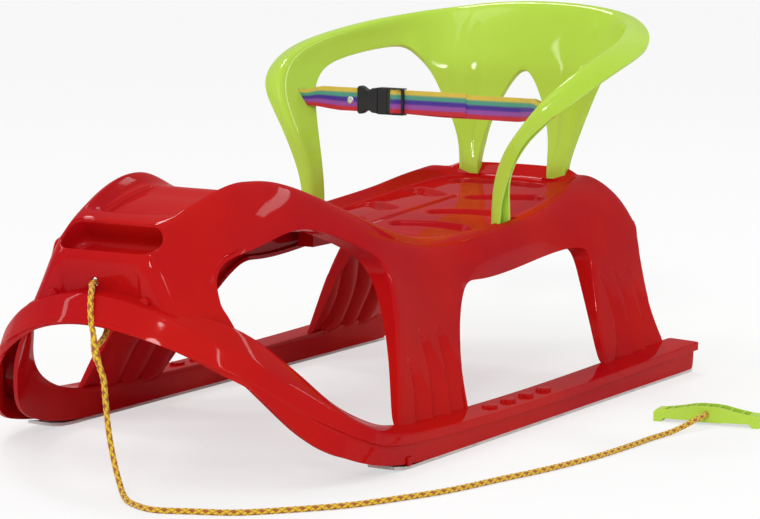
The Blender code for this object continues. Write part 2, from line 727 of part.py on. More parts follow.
def add_flanges(points, faces, rim, feet):
    """Turns the lower edges away from the child. Returns the folds of all turned edges."""
    work = bmesh.new()
    verts = [work.verts.new(p) for p in points]
    for face in faces:
        work.faces.new([verts[i] for i in face])
    work.normal_update()
    normals = [v.normal.copy() for v in verts]
    work.free()
    count = {}
    for face in faces:
        for a, b in zip(face, face[1:] + face[:1]):
            count[frozenset((a, b))] = count.get(frozenset((a, b)), 0) + 1
    turned = {}
    creased = []
    for face in list(faces):
        for a, b in zip(face, face[1:] + face[:1]):
            middle = max(points[a].x, points[b].x) < 1e-6
            ended = (a in rim and b in rim) or (a in feet and b in feet)
            if count[frozenset((a, b))] > 1 or middle or ended:
                continue
            for vertex in (a, b):
                if vertex not in turned:
                    away = -normals[vertex]
                    if abs(points[vertex].x) < 1e-6:
                        away.x = 0.0
                    if points[vertex].z < 0.232:
                        on_arm = points[vertex].y < 0.300
                        away = Vector((1.0, 0.0, 0.0)) if on_arm else Vector((0.0, 1.0, 0.0))
                    turned[vertex] = len(points)
                    points.append(points[vertex] + away.normalized() * flange_depth(points[vertex]))
            faces.append([b, a, turned[a], turned[b]])
            creased.append((a, b))
    return creased


points, faces, rim, feet = backrest_cage()
creased = add_flanges(points, faces, rim, feet)
backrest = mesh_object("backrest", points, faces, green)
set_creases(backrest.data, creased, crease_flange)
shell_modifiers(backrest, 1, shell)

for side, label in ((-1, "left"), (1, "right")):
    half = strap_thickness / 2.0 + slot_clearance
    reach = strap_width / 2.0 + slot_clearance
    cut(backrest, box("strap_slot_" + label, sorted((side * slot_from, side * slot_to)),
                      (slot_y - half, slot_y + half), (belt_z - reach, belt_z + reach), green))
finish_shape(backrest)


# Straps: a band standing on edge, along a path seen from above
def band(name, path, material):
    left, right = [], []
    for i, point in enumerate(path):
        before = path[max(i - 1, 0)]
        after = path[min(i + 1, len(path) - 1)]
        into = Vector((point[0] - before[0], point[1] - before[1]))
        out = Vector((after[0] - point[0], after[1] - point[1]))
        directions = [d.normalized() for d in (into, out) if d.length > 1e-9]
        along = sum(directions, Vector((0.0, 0.0))).normalized()
        # a mitre keeps the band's thickness round a corner
        stretch = 1.0 / max(along.dot(directions[0]), 0.7)
        side = Vector((-along.y, along.x)) * strap_thickness / 2.0 * stretch
        left.append((point[0] + side.x, point[1] + side.y))
        right.append((point[0] - side.x, point[1] - side.y))
    return prism(name, left + right[::-1], Matrix.Identity(4), belt_z - strap_width / 2.0,
                 belt_z + strap_width / 2.0, material)


def arm_loop(side, front, slack=0.0):
    """From the front layer, through the slot and round the arm's rear edge, to the rear layer.

    The layers run straight for the slack before the arm, so the belt can shift by it.
    """
    into = slot_from - slack
    return [(side * layer_parts_at, front), (side * (into + 0.0010), slot_y + 0.0016),
            (side * (into + 0.0070), slot_y), (side * (loop_reach - 0.0060), slot_y),
            (side * (loop_reach - 0.0018), slot_y + 0.0018), (side * loop_reach, slot_y + 0.0060),
            (side * loop_reach, loop_rear - 0.0060), (side * (loop_reach - 0.0018), loop_rear - 0.0018),
            (side * (loop_reach - 0.0060), loop_rear), (side * (loop_reach - 0.0150 - slack), loop_rear),
            (side * layer_parts_at, front + belt_step)]


left_path = [(socket_left + mouth_depth - fit_gap, belt_front)] + arm_loop(-1, belt_front)
left_path.append((socket_left - end_clearance, belt_front + belt_step))
strap_left = band("strap_left", left_path, webbing)
rivet_z = belt_z - 0.0010
cut(strap_left, prism("rivet_hole", circle(rivet_shank + fit_gap), around_y(rivet_x, belt_front, rivet_z),
                      -0.0080, 0.0080, webbing))
finish_shape(strap_left)

# The right strap threads the plug: behind both bars, round the middle bar, over it, behind the outer bar
bar_left = plug_body_right + window_width
bar_edge = bar_left + bar_width
turn_x = bar_left - strap_thickness / 2.0 - bar_clearance - 0.0012
rear_y = belt_front + bar_thick / 2.0 + strap_thickness / 2.0 + bar_clearance
front_y = belt_front - bar_thick / 2.0 - strap_thickness / 2.0 - bar_clearance
right_path = [(tail_end, rear_y - tail_gap), (plug_right, rear_y - tail_gap),
              (plug_right - bar_width - 0.0016, rear_y - tail_gap), (bar_edge + 0.0016, front_y),
              (turn_x + 0.0020, front_y), (turn_x, front_y + 0.0016),
              (turn_x, rear_y - 0.0016), (turn_x + 0.0020, rear_y)]
right_path += arm_loop(1, rear_y, release_travel)
right_path.append((rear_end, rear_y + belt_step))
band("strap_right", right_path, webbing)


# Rivet through both layers of the left strap: a turned shape about its own axis
def lathe(name, profile, frame, material, count=16):
    points = []
    faces = []
    rings = []
    for radius, level in profile:
        rings.append(range(len(points), len(points) + count))
        points += [frame @ Vector((u, v, level)) for u, v in circle(radius, count)]
    for lower, upper in zip(rings, rings[1:]):
        for i in range(count):
            j = (i + 1) % count
            faces.append([lower[i], lower[j], upper[j], upper[i]])
    faces += [list(rings[0]), list(rings[-1])]
    piece = mesh_object(name, points, faces, material)
    faces_outwards(piece)
    return piece


front_face = strap_thickness / 2.0 + fit_gap
rear_face = belt_step + strap_thickness / 2.0 + fit_gap
rivet_outline = [(rivet_head * 0.5, front_face + rivet_dome),
                 (rivet_head * 0.85, front_face + rivet_dome * 0.7), (rivet_head, front_face + rivet_dome * 0.2), (rivet_head, front_face),
                 (rivet_shank, front_face), (rivet_shank, -rear_face), (rivet_head, -rear_face),
                 (rivet_head, -rear_face - rivet_washer)]
lathe("strap_rivet", rivet_outline, around_y(rivet_x, belt_front, rivet_z), bright)

# Buckle. Outlines are in X and height, carried through the thickness
upright = Matrix.Translation((0.0, belt_front, belt_z)) @ Matrix.Rotation(math.radians(90.0), 4, "X")
half_thick = buckle_thick / 2.0
upper_edge = [(socket_left, 0.92), (socket_left + 0.0012, 1.0), (socket_left + 0.0075, 1.0),
              (socket_left + 0.0125, 0.86), (socket_left + 0.0180, 0.84), (socket_right - 0.0015, 0.95),
              (socket_right, 0.95)]
upper_edge = [(x, part * buckle_height / 2.0) for x, part in upper_edge]
socket = prism("buckle_socket", upper_edge + [(x, -z) for x, z in reversed(upper_edge)], upright,
               -half_thick, half_thick, black)
mouth = strap_thickness / 2.0 + mouth_clearance
cut(socket, box("strap_mouth", (socket_left - 0.0100, socket_left + mouth_depth),
                (belt_front - mouth, belt_front + mouth),
                (belt_z - strap_width / 2.0 - mouth_clearance, belt_z + strap_width / 2.0 + mouth_clearance),
                black))
cavity_end = socket_right - (plug_left - socket_right) - prong_reach
cut(socket, box("prong_room", (cavity_end, socket_right + 0.0100),
                (belt_front - cavity_half_thick, belt_front + cavity_half_thick),
                (belt_z - cavity_half_height, belt_z + cavity_half_height), black))
cut(socket, box("side_windows", (window_left, window_right),
                (belt_front - cavity_half_thick, belt_front + cavity_half_thick),
                (belt_z - buckle_height, belt_z + buckle_height), black))
finish_shape(socket)

body_half = buckle_height / 2.0 * 0.95
plug = box("buckle_plug", (plug_left, plug_body_right), (belt_front - half_thick, belt_front + half_thick),
           (belt_z - body_half, belt_z + body_half), black)
root = plug_left + 0.0020       # joined pieces reach this far into the plug's body
prong_half = prong_thick / 2.0
prong_y = (belt_front - prong_half, belt_front + prong_half)
join(plug, box("guide", (plug_left - guide_reach, root), prong_y,
               (belt_z - guide_half_height, belt_z + guide_half_height), black))
for side, label in ((-1, "lower"), (1, "upper")):
    prong = sorted((belt_z + side * (prong_outer - prong_height), belt_z + side * prong_outer))
    join(plug, box("prong_" + label, (plug_left - prong_reach, root), prong_y, prong, black))
    button = sorted((belt_z + side * (prong_outer - 0.0005), belt_z + side * (cavity_half_height - fit_gap)))
    join(plug, box("button_" + label, (window_left + button_gap, window_right - button_gap),
                   prong_y, button, black))
    rail = sorted((belt_z + side * (body_half - frame_rail), belt_z + side * body_half))
    join(plug, box("frame_rail_" + label, (plug_body_right - 0.0020, plug_right),
                   (belt_front - frame_half_thick, belt_front + frame_half_thick), rail, black))
bar_z = (belt_z - body_half + frame_rail / 2.0, belt_z + body_half - frame_rail / 2.0)
bar_y = (belt_front - bar_thick / 2.0, belt_front + bar_thick / 2.0)
join(plug, box("middle_bar", (bar_left, bar_edge), bar_y, bar_z, black))
outer_bar_y = front_y - strap_thickness / 2.0
join(plug, box("outer_bar", (plug_right - bar_width, plug_right), (outer_bar_y, outer_bar_y + bar_thick),
               bar_z, black))
finish_shape(plug)


# Rope: routes as points in millimetres that a smooth curve runs through
def smooth_route(route, spacing):
    knots = [mm(*p) for p in route]
    ends = [knots[0] * 2.0 - knots[1]] + knots + [knots[-1] * 2.0 - knots[-2]]
    fine = []
    for a, b, c, d in zip(ends, ends[1:], ends[2:], ends[3:]):
        for step in range(20):
            t = step / 20.0
            fine.append(0.5 * (b * 2.0 + (c - a) * t + (a * 2.0 - b * 5.0 + c * 4.0 - d) * t * t
                               + (b * 3.0 - a - c * 3.0 + d) * t * t * t))
    fine.append(knots[-1])
    lengths = [0.0]
    for a, b in zip(fine, fine[1:]):
        lengths.append(lengths[-1] + (b - a).length)
    count = max(round(lengths[-1] / spacing), 2)
    even = []
    place = 0
    for step in range(count + 1):
        wanted = lengths[-1] * step / count
        while place < len(fine) - 2 and lengths[place + 1] < wanted:
            place += 1
        part = (wanted - lengths[place]) / (lengths[place + 1] - lengths[place])
        even.append(fine[place].lerp(fine[place + 1], part))
    return even, lengths[-1]


def tube(name, route, spacing):
    places, length = smooth_route(route, spacing)
    curve = bpy.data.curves.new(name, "CURVE")
    curve.dimensions = "3D"
    curve.bevel_depth = rope_radius
    curve.bevel_resolution = 2
    curve.use_fill_caps = True
    spline = curve.splines.new("POLY")
    spline.points.add(len(places) - 1)
    for point, place in zip(spline.points, places):
        point.co = (*place, 1.0)
    piece = bpy.data.objects.new(name, curve)
    curve.materials.append(cord)
    bpy.context.collection.objects.link(piece)
    print(name, "is", round(length, 4), "m long")
    return piece


loop_route = [(15.9, -418.6, 134.5), (15.2, -418.0, 140), (13.3, -418.2, 149.5), (9.6, -414.4, 162),
              (5.8, -408.0, 174.9), (0.6, -399.5, 177.4), (-6.4, -390.5, 179.9), (-7.5, -384, 180.6),
              (-7, -376, 179.4), (-5.8, -370.5, 174.5), (-4, -369, 167), (-1, -370.5, 158), (3, -376, 149.5),
              (7.5, -386, 141), (11.5, -397, 134), (15.2, -412.3, 128.6)]
tube("rope_loop", loop_route, 0.0070)
rope_route = [(17.9, -418.7, 123.0), (21, -417.5, 112), (25.3, -417, 99.5), (27.5, -417.5, 81.7),
              (31.5, -419.5, 59), (37.2, -423, 42.1), (45.8, -429, 26.1), (56, -436.5, 13.2), (67, -446, 5.6),
              (80, -456, 3.1), (98, -465.5, 2.8), (112, -469.5, 2.8), (124, -468, 2.8), (145, -458.5, 2.8),
              (172, -447, 2.8), (192, -433, 2.8), (221, -401, 2.8), (250, -363, 2.8), (272, -318, 2.8),
              (293, -266, 2.8), (309, -200, 2.8), (325, -135, 2.8), (337, -60, 2.8), (341, 0, 2.8),
              (342, 38, 2.8), (344, 64, 2.8), (347, 82, 3.8), (350.5, 101, 6.4), (353, 117, 9.2),
              (354.7, 131, 10.7), (353.2, 143.5, 10.8), (352.1, 149.9, 10.8)]
tube("pull_rope", rope_route, 0.0150)

# Knot: a small turned lump between the loop's two ends and the pulling part
knot_points = []
for ring in range(7):
    polar = math.pi * ring / 6.0
    for step in range(12):
        turn = 2.0 * math.pi * step / 12.0
        outwards = Vector((math.sin(polar) * math.cos(turn), math.sin(polar) * math.sin(turn), math.cos(polar)))
        knot_points.append(knot_centre + outwards * knot_radius)
hull("rope_knot", knot_points, cord)

# Handle: a channel open on top, standing on its two hooked ends, with cross ribs
handle_frame = (Matrix.Translation((handle_x, handle_y, 0.0)) @ Matrix.Rotation(handle_turn, 4, "Z")
                @ Matrix.Rotation(math.radians(90.0), 4, "X"))
half_top = [(handle_half_length, 0.0095), (handle_half_length - 0.0025, 0.0120),
            (handle_half_length - 0.0100, 0.0125), (0.0310, 0.0146), (0.0155, 0.0178), (0.0070, 0.0186)]
half_foot = [(0.0120, 0.0025), (0.0200, 0.0034), (0.0440, 0.0036), (hook_inner, 0.0010),
             (hook_inner + 0.0010, 0.0), (handle_half_length - 0.0010, 0.0), (handle_half_length, 0.0012)]
half_side = half_foot + half_top
handle = prism("rope_handle", half_side + [(-x, z) for x, z in reversed(half_side)], handle_frame,
               -handle_depth, 0.0, green)
rib_places = [rib_pitch * (number - (rib_count - 1) / 2.0) for number in range(rib_count)]
edges = [-channel_half_length] + rib_places + [channel_half_length]
for number, (left, right) in enumerate(zip(edges, edges[1:])):
    low = left + (rib_thickness / 2.0 if number > 0 else 0.0)
    high = right - (rib_thickness / 2.0 if number < rib_count else 0.0)
    outline = [(low, channel_floor), (high, channel_floor), (high, over_channel), (low, over_channel)]
    cut(handle, prism("channel_%d" % number, outline, handle_frame,
                      -handle_depth + handle_wall, -handle_wall, green))
cut(handle, prism("rope_way", [(u, v + handle_hole_z) for u, v in circle(handle_hole_radius)], handle_frame,
                  -rope_way_depth, 0.0100, green))
finish_shape(handle)

# Everything is measured from the middle of the body. The empty puts the whole sled in the middle of
# its own length, with the backrest that stands out behind.
middle = bpy.data.objects.new("sled_middle", None)
middle.location.y = -middle_y
bpy.context.scene.collection.objects.link(middle)
for piece in bpy.data.objects:
    if piece is not middle:
        piece.parent = middle
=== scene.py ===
import math
import bpy
import bmesh
import numpy as np
from mathutils import Matrix, Vector
from mathutils.bvhtree import BVHTree


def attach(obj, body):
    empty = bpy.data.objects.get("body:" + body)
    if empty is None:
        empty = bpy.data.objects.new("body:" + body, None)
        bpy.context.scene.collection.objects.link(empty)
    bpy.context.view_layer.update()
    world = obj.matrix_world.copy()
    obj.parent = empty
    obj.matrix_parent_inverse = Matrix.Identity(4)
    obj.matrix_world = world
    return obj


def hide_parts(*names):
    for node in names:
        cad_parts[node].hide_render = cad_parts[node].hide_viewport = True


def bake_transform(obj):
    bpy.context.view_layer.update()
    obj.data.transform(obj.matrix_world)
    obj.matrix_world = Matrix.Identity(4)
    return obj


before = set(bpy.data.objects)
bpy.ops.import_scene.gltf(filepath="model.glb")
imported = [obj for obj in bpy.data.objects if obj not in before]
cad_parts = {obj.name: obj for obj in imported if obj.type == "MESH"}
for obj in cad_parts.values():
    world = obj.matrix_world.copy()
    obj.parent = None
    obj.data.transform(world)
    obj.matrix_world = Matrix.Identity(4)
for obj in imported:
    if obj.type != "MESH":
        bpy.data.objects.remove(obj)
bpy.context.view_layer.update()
middleY = -22.8  # the cages below are drawn from the middle of the body, in mm


def yPlace(y):
    return (y + middleY) / 1000


def mm(x, y, z):
    return Vector((x / 1000, yPlace(y), z / 1000))


def inMm(point):
    # back from metres to the cages' mm, for one point or for rows of x, y and z
    return point[0] * 1000, point[1] * 1000 - middleY, point[2] * 1000


def share(value, low, high):
    return min(max((value - low) / (high - low), 0.0), 1.0)


def ease(value):
    value = np.clip(value, 0.0, 1.0)
    return value * value * (3 - 2 * value)


# Camera, at the angle the photograph was taken from
photoView = {"place": (1.59019, -2.56862, 0.57700), "turn": 31.0022, "rise": 7.972, "roll": 0.2525,
             "lens": 142.57}


def makeCamera(view):
    turn, rise, roll = (math.radians(view[key]) for key in ("turn", "rise", "roll"))
    back = Vector((math.sin(turn) * math.cos(rise), -math.cos(turn) * math.cos(rise), math.sin(rise)))
    right = Vector((0, 0, 1)).cross(back).normalized()
    up = back.cross(right)
    across = right * math.cos(roll) + up * math.sin(roll)
    upwards = up * math.cos(roll) - right * math.sin(roll)
    data = bpy.data.cameras.new("photoCamera")
    data.lens = view["lens"]
    data.sensor_width = 36
    data.clip_end = 60
    camera = bpy.data.objects.new("photoCamera", data)
    camera.matrix_world = Matrix((across, upwards, back)).transposed().to_4x4()
    camera.matrix_world.translation = Vector(view["place"])
    bpy.context.scene.collection.objects.link(camera)
    bpy.context.scene.camera = camera


makeCamera(photoView)
bpy.context.scene.view_settings.view_transform = "Standard"
print("camera set")


# Shader maths: a wire can be added to, multiplied and so on, and each step becomes a Math node
class Wire:
    def __init__(self, sheet, socket):
        self.sheet = sheet
        self.socket = socket

    def maths(self, operation, *others):
        return self.sheet.node("ShaderNodeMath", {"operation": operation}, dict(enumerate((self,) + others)))

    def reflected(self, operation, other):
        return self.sheet.node("ShaderNodeMath", {"operation": operation}, {0: other, 1: self})

    def __add__(self, other):
        return self.maths("ADD", other)

    def __sub__(self, other):
        return self.maths("SUBTRACT", other)

    def __mul__(self, other):
        return self.maths("MULTIPLY", other)

    def __truediv__(self, other):
        return self.maths("DIVIDE", other)

    def __pow__(self, other):
        return self.maths("POWER", other)

    def __rsub__(self, other):
        return self.reflected("SUBTRACT", other)

    def __rtruediv__(self, other):
        return self.reflected("DIVIDE", other)

    __radd__ = __add__
    __rmul__ = __mul__

    def over(self, limit):
        return self.maths("GREATER_THAN", limit)

    def sine(self):
        return self.maths("SINE")

    def size(self):
        return self.maths("ABSOLUTE")

    def part(self):
        return self.maths("FRACT")

    def whole(self):
        return self.maths("FLOOR")

    def clipped(self):
        return self.sheet.node("ShaderNodeClamp", {}, {"Value": self})

    def between(self, low, high):
        return self.sheet.node("ShaderNodeMapRange", {"interpolation_type": "SMOOTHSTEP"},
                               {"Value": self, "From Min": low, "From Max": high})


class FinishSheet:
    def __init__(self, name):
        self.material = bpy.data.materials.new(name)
        self.material.use_nodes = True
        self.tree = self.material.node_tree
        self.shader = self.tree.nodes["Principled BSDF"]
        self.place = self.node("ShaderNodeTexCoord", {}, {}, "Object")

    def node(self, kind, settings, sockets, output=0):
        made = self.tree.nodes.new(kind)
        for key, value in settings.items():
            setattr(made, key, value)
        for key, value in sockets.items():
            self.put(made.inputs[key], value)
        return Wire(self, made.outputs[output])

    def put(self, socket, value):
        if isinstance(value, Wire):
            self.tree.links.new(value.socket, socket)
        elif isinstance(value, tuple) and socket.type == "RGBA":
            socket.default_value = (*value, 1)[:4]
        else:
            socket.default_value = value

    def noise(self, scale, detail=2.0, stretch=(1, 1, 1), rough=0.5):
        spot = self.node("ShaderNodeMapping", {}, {"Vector": self.place, "Scale": stretch})
        return self.node("ShaderNodeTexNoise", {}, {"Vector": spot, "Scale": scale, "Detail": detail,
                                                    "Roughness": rough})

    def mix(self, amount, first, second):
        return self.node("ShaderNodeMix", {"data_type": "RGBA"}, {0: amount, 6: first, 7: second}, 2)

    def stripes(self):
        # how far along and how far across a band or a rope
        lay = self.node("ShaderNodeUVMap", {"uv_map": "lay"}, {})
        return [self.node("ShaderNodeSeparateXYZ", {}, {0: lay}, way) for way in (0, 1)]

    def bump(self, height, depth, strength=1.0):
        return self.node("ShaderNodeBump", {}, {"Height": height, "Distance": depth, "Strength": strength})

    def finish(self, **values):
        for key, value in values.items():
            self.put(self.shader.inputs[key.replace("_", " ")], value)
        return self.material


# Moulded plastic: glossy, a slight orange peel, drifting tone, faint rubbed patches
plasticGrain = {"drift": 7, "rubbed": 30, "hair": 60, "speck": 1400, "dark": 0.06, "finePeel": 5,
                "finePeelShare": 0.12, "peelStrength": 0.5, "bend": 1.5, "glowScale": 0.004}


def mouldedPlastic(name, look):
    grain = plasticGrain
    sheet = FinishSheet(name)
    drift = sheet.noise(grain["drift"], 3)
    rubbed = sheet.noise(grain["rubbed"], 5, rough=0.65).between(0.48, 0.8)
    hair = sheet.noise(grain["hair"], 3, (1, 0.04, 1)).between(0.62, 0.75)
    speck = sheet.noise(grain["speck"], 2)
    colour = sheet.mix(drift.between(0.3, 0.7), look["deep"], look["colour"])
    dark = sheet.mix(grain["dark"], colour, (0, 0, 0))
    colour = sheet.mix((speck - 0.5) * look["speckle"] + 0.5, dark, colour)
    rough = rubbed * look["rubbed"] + hair * look["hair"] + look["gloss"]
    fine = sheet.noise(look["peelScale"] * grain["finePeel"], 2) * grain["finePeelShare"]
    peel = sheet.noise(look["peelScale"], 2) + fine
    return sheet.finish(Base_Color=colour, Roughness=rough,
                        Normal=sheet.bump(peel, look["peel"], grain["peelStrength"]),
                        IOR=grain["bend"], Specular_IOR_Level=look["shine"],
                        Coat_Weight=look["coat"], Coat_Roughness=look["coatGloss"],
                        Subsurface_Weight=look["glow"], Subsurface_Radius=look["glowReach"],
                        Subsurface_Scale=grain["glowScale"])


redLook = {"colour": (0.55, 0.0085, 0.0062), "deep": (0.46, 0.0034, 0.0085), "speckle": 0.5, "gloss": 0.09,
           "rubbed": 0.05, "hair": 0.04, "peelScale": 120, "peel": 0.0003, "coat": 0.24, "coatGloss": 0.05,
           "shine": 0.0, "glow": 0.0, "glowReach": (1.0, 0.1, 0.1)}
limeLook = {"colour": (0.52, 0.76, 0.085), "deep": (0.47, 0.70, 0.062), "speckle": 0.4, "gloss": 0.13,
            "rubbed": 0.05, "hair": 0.03, "peelScale": 150, "peel": 0.00025, "coat": 0.45, "coatGloss": 0.06,
            "shine": 0.0, "glow": 0.12, "glowReach": (0.9, 1.0, 0.2)}
blackLook = {"colour": (0.012, 0.012, 0.013), "deep": (0.008, 0.008, 0.009), "speckle": 0.8, "gloss": 0.36,
             "rubbed": 0.08, "hair": 0.05, "peelScale": 900, "peel": 0.00012, "coat": 0.0, "coatGloss": 0.2,
             "shine": 0.4, "glow": 0.0, "glowReach": (1.0, 1.0, 1.0)}
redPlastic = mouldedPlastic("redPlastic", redLook)
limePlastic = mouldedPlastic("limePlastic", limeLook)
blackPlastic = mouldedPlastic("blackPlastic", blackLook)


# Rolled steel strip: brushed along its length, a little dulled and spotted by the ground
steelGrain = {"drawn": 900, "dull": 40, "spots": 420, "spotShare": 0.35, "drawnRough": 0.14,
              "dullRough": 0.12, "depth": 0.00006}


def rolledSteel(name, look):
    grain = steelGrain
    sheet = FinishSheet(name)
    drawn = sheet.noise(grain["drawn"], 3, (1, 0.012, 1))
    dull = sheet.noise(grain["dull"], 4).between(0.4, 0.75)
    spots = sheet.noise(grain["spots"], 3).between(0.68, 0.78)
    colour = sheet.mix(dull, look["colour"], look["dull"])
    colour = sheet.mix(spots * grain["spotShare"], colour, look["spot"])
    rough = drawn * grain["drawnRough"] + dull * grain["dullRough"] + look["gloss"]
    return sheet.finish(Base_Color=colour, Metallic=1.0, Roughness=rough,
                        Normal=sheet.bump(drawn, grain["depth"], 0.6))


stripSteel = rolledSteel("stripSteel", {"colour": (0.80, 0.80, 0.79), "dull": (0.70, 0.70, 0.70),
                                        "spot": (0.45, 0.42, 0.40), "gloss": 0.34})
rivetSteel = rolledSteel("rivetSteel", {"colour": (0.80, 0.79, 0.77), "dull": (0.72, 0.71, 0.70),
                                        "spot": (0.55, 0.53, 0.50), "gloss": 0.16})


# Woven webbing: five lengthwise stripes with stepped edges, a herringbone of threads, and painted shade
# between the threads
webbingLook = {"stripes": [(0.94, 0.76, 0.090), (0.100, 0.48, 0.33), (0.080, 0.030, 0.42),
                           (0.40, 0.100, 0.52), (0.76, 0.022, 0.040)],
               "picksPerWidth": 20.0, "endsPerWidth": 14.0, "edgeStep": 0.075, "shadow": 0.45,
               "fibre": 2600, "shadeNoise": 240, "depth": 0.00035, "rough": 0.82, "sheen": 0.25}


def wovenStripes(name, look):
    sheet = FinishSheet(name)
    along, across = sheet.stripes()
    pick = along * look["picksPerWidth"]
    end = across * look["endsPerWidth"]
    step = ((pick * 0.5).part() - 0.5).size() * 2.0
    level = across + (step - 0.5) * look["edgeStep"]
    colour = look["stripes"][0]
    for number, stripe in enumerate(look["stripes"][1:], 1):
        edge = level.over(1.0 - number / len(look["stripes"]))
        colour = sheet.mix(edge, stripe, colour)
    chevron = ((end.part() - 0.5).size() * 2.0 + pick).part()
    thread = (chevron - 0.5).size() * 2.0
    rib = (pick * math.tau).sine() * 0.5 + 0.5
    height = thread * 0.6 + rib * 0.4 + sheet.noise(look["fibre"], 2) * 0.25
    # painted shade: the colour darkens in the low parts between threads, and a noise breaks that painted
    # shade up
    lit = (thread * 0.75 + sheet.noise(look["shadeNoise"], 3) * 0.4).clipped()
    shade = sheet.mix(lit, sheet.mix(look["shadow"], colour, (0, 0, 0)), colour)
    return sheet.finish(Base_Color=shade, Roughness=look["rough"],
                        Normal=sheet.bump(height, look["depth"], 0.8),
                        Sheen_Weight=look["sheen"], Sheen_Roughness=0.5)


stripedWebbing = wovenStripes("stripedWebbing", webbingLook)


# Braided cord: two sets of strands winding opposite ways, darker where two dark strands cross
cordLook = {"colour": (0.90, 0.56, 0.015), "tracer": (0.42, 0.070, 0.012), "shadow": (0.16, 0.035, 0.008),
            "light": (0.95, 0.70, 0.10), "pitch": 0.0240, "strands": 8.0, "fuzz": 1500, "depth": 0.0004,
            "rough": 0.62, "sheen": 0.3}


def braidedCord(name, look):
    sheet = FinishSheet(name)
    along, about = sheet.stripes()
    turns = along / look["pitch"]
    first = (about * look["strands"] + turns * look["strands"]) * 0.5
    second = (about * look["strands"] - turns * look["strands"]) * 0.5
    over = (first.whole() + second.whole()).maths("MODULO", 2.0).size().over(0.5)
    tracer = (first * 0.5).part().over(0.5) * (second * 0.5).part().over(0.5)
    ply = over * (first.part() - 0.5).size() + (1.0 - over) * (second.part() - 0.5).size()
    fuzz = sheet.noise(look["fuzz"], 3)
    colour = sheet.mix(tracer, look["colour"], look["tracer"])
    colour = sheet.mix((ply * 2.0).clipped() ** 2.0 * 0.8, colour, look["shadow"])
    colour = sheet.mix(fuzz * 0.12, colour, look["light"])
    return sheet.finish(Base_Color=colour, Roughness=look["rough"], Sheen_Weight=look["sheen"],
                        Sheen_Roughness=0.4,
                        Normal=sheet.bump((1.0 - ply * 2.0) + fuzz * 0.3, look["depth"], 0.7))


yellowCord = braidedCord("yellowCord", cordLook)
print("finishes made")


# A piece of the object, riding on its body and standing for its CAD nodes
def dress(piece, body, slotName, *nodes):
    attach(piece, body)
    if nodes:
        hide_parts(*nodes)
    return piece


def meshPiece(name, points, faces, material, creases=()):
    mesh = bpy.data.meshes.new(name)
    mesh.from_pydata([tuple(p) for p in points], [], faces)
    mesh.update()
    if creases:
        layer = mesh.attributes.new("crease_edge", "FLOAT", "EDGE")
        wanted = {tuple(sorted(edge)): value for edge, value in creases}
        for edge in mesh.edges:
            layer.data[edge.index].value = wanted.get(tuple(sorted(edge.vertices)), 0.0)
    piece = bpy.data.objects.new(name, mesh)
    mesh.materials.append(material)
    bpy.context.scene.collection.objects.link(piece)
    return piece


def settle(piece, sharpAngle=38):
    # its modifiers are worked out once and kept as a plain mesh
    bpy.context.view_layer.update()
    solved = piece.evaluated_get(bpy.context.evaluated_depsgraph_get())
    mesh = bpy.data.meshes.new_from_object(solved)
    piece.modifiers.clear()
    piece.data = mesh
    roundOff(piece, sharpAngle)
    return piece


def roundOff(piece, sharpAngle):
    piece.data.shade_smooth()
    piece.data.set_sharp_from_angle(angle=math.radians(sharpAngle))


def smoothed(piece, levels):
    mirror = piece.modifiers.new("mirror", "MIRROR")
    mirror.merge_threshold = 0.0001
    smooth = piece.modifiers.new("smooth", "SUBSURF")
    smooth.levels = smooth.render_levels = levels
    return settle(piece)


def thicken(piece, thickness, cutters=(), offset=-1, sharpAngle=38):
    if thickness:
        wall = piece.modifiers.new("wall", "SOLIDIFY")
        wall.thickness = thickness
        wall.offset = offset
        wall.material_offset = 1  # marks the inner face, where there is a second slot
    if cutters:
        group = bpy.data.collections.new(piece.name + "Cuts")
        bpy.context.scene.collection.children.link(group)
        for cutter in cutters:
            bpy.context.scene.collection.objects.unlink(cutter)
            group.objects.link(cutter)
        step = piece.modifiers.new("cuts", "BOOLEAN")
        step.operation = "DIFFERENCE"
        step.operand_type = "COLLECTION"
        step.collection = group
        step.solver = "EXACT"
    settle(piece, sharpAngle)
    for cutter in cutters:
        bpy.data.objects.remove(cutter)
    return piece


def skinPoints(piece):
    mesh = piece.data
    places = np.empty(len(mesh.vertices) * 3)
    mesh.vertices.foreach_get("co", places)
    normals = np.empty(len(mesh.vertices) * 3)
    mesh.vertex_normals.foreach_get("vector", normals)
    return places.reshape(-1, 3), normals.reshape(-1, 3)


def moveSkin(piece, places):
    piece.data.vertices.foreach_set("co", places.astype(np.float32).ravel())
    piece.data.update()


def inAreas(points, areas):
    # which points lie in one of some boxes in mm that count for both sides
    x, y, z = inMm(points)
    found = False
    for across, along, up in areas:
        flat = (across[0] < abs(x)) & (abs(x) < across[1]) & (along[0] < y) & (y < along[1])
        found = found | (flat & (up[0] < z) & (z < up[1]))
    return found


refineLook = {"cuts": 3, "rounds": 14}


def chosenFaces(work, wanted):
    faces = list(work.faces)
    middles = np.array([face.calc_center_median() for face in faces])
    return [face for face, inside in zip(faces, wanted(middles.T)) if inside]


def refine(piece, wanted):
    # edges cut in four where the test holds, then evened out
    work = bmesh.new()
    work.from_mesh(piece.data)
    edges = {edge for face in chosenFaces(work, wanted) for edge in face.edges}
    bmesh.ops.subdivide_edges(work, edges=list(edges), cuts=refineLook["cuts"], use_grid_fill=True)
    fine = {vert for face in chosenFaces(work, wanted) for vert in face.verts}
    inner = [vert for vert in fine if all(edge.other_vert(vert) in fine for edge in vert.link_edges)
             and not vert.is_boundary]
    for again in range(refineLook["rounds"]):
        bmesh.ops.smooth_vert(work, verts=inner, factor=0.5,
                              use_axis_x=True, use_axis_y=True, use_axis_z=True)
    work.to_mesh(piece.data)
    work.free()


def tubeFaces(rings, around):
    # walls between rings of points that follow one another
    faces = []
    for first in range(0, (rings - 1) * around, around):
        for step in range(around):
            after = (step + 1) % around
            faces.append([first + step, first + after, first + around + after, first + around + step])
    return faces


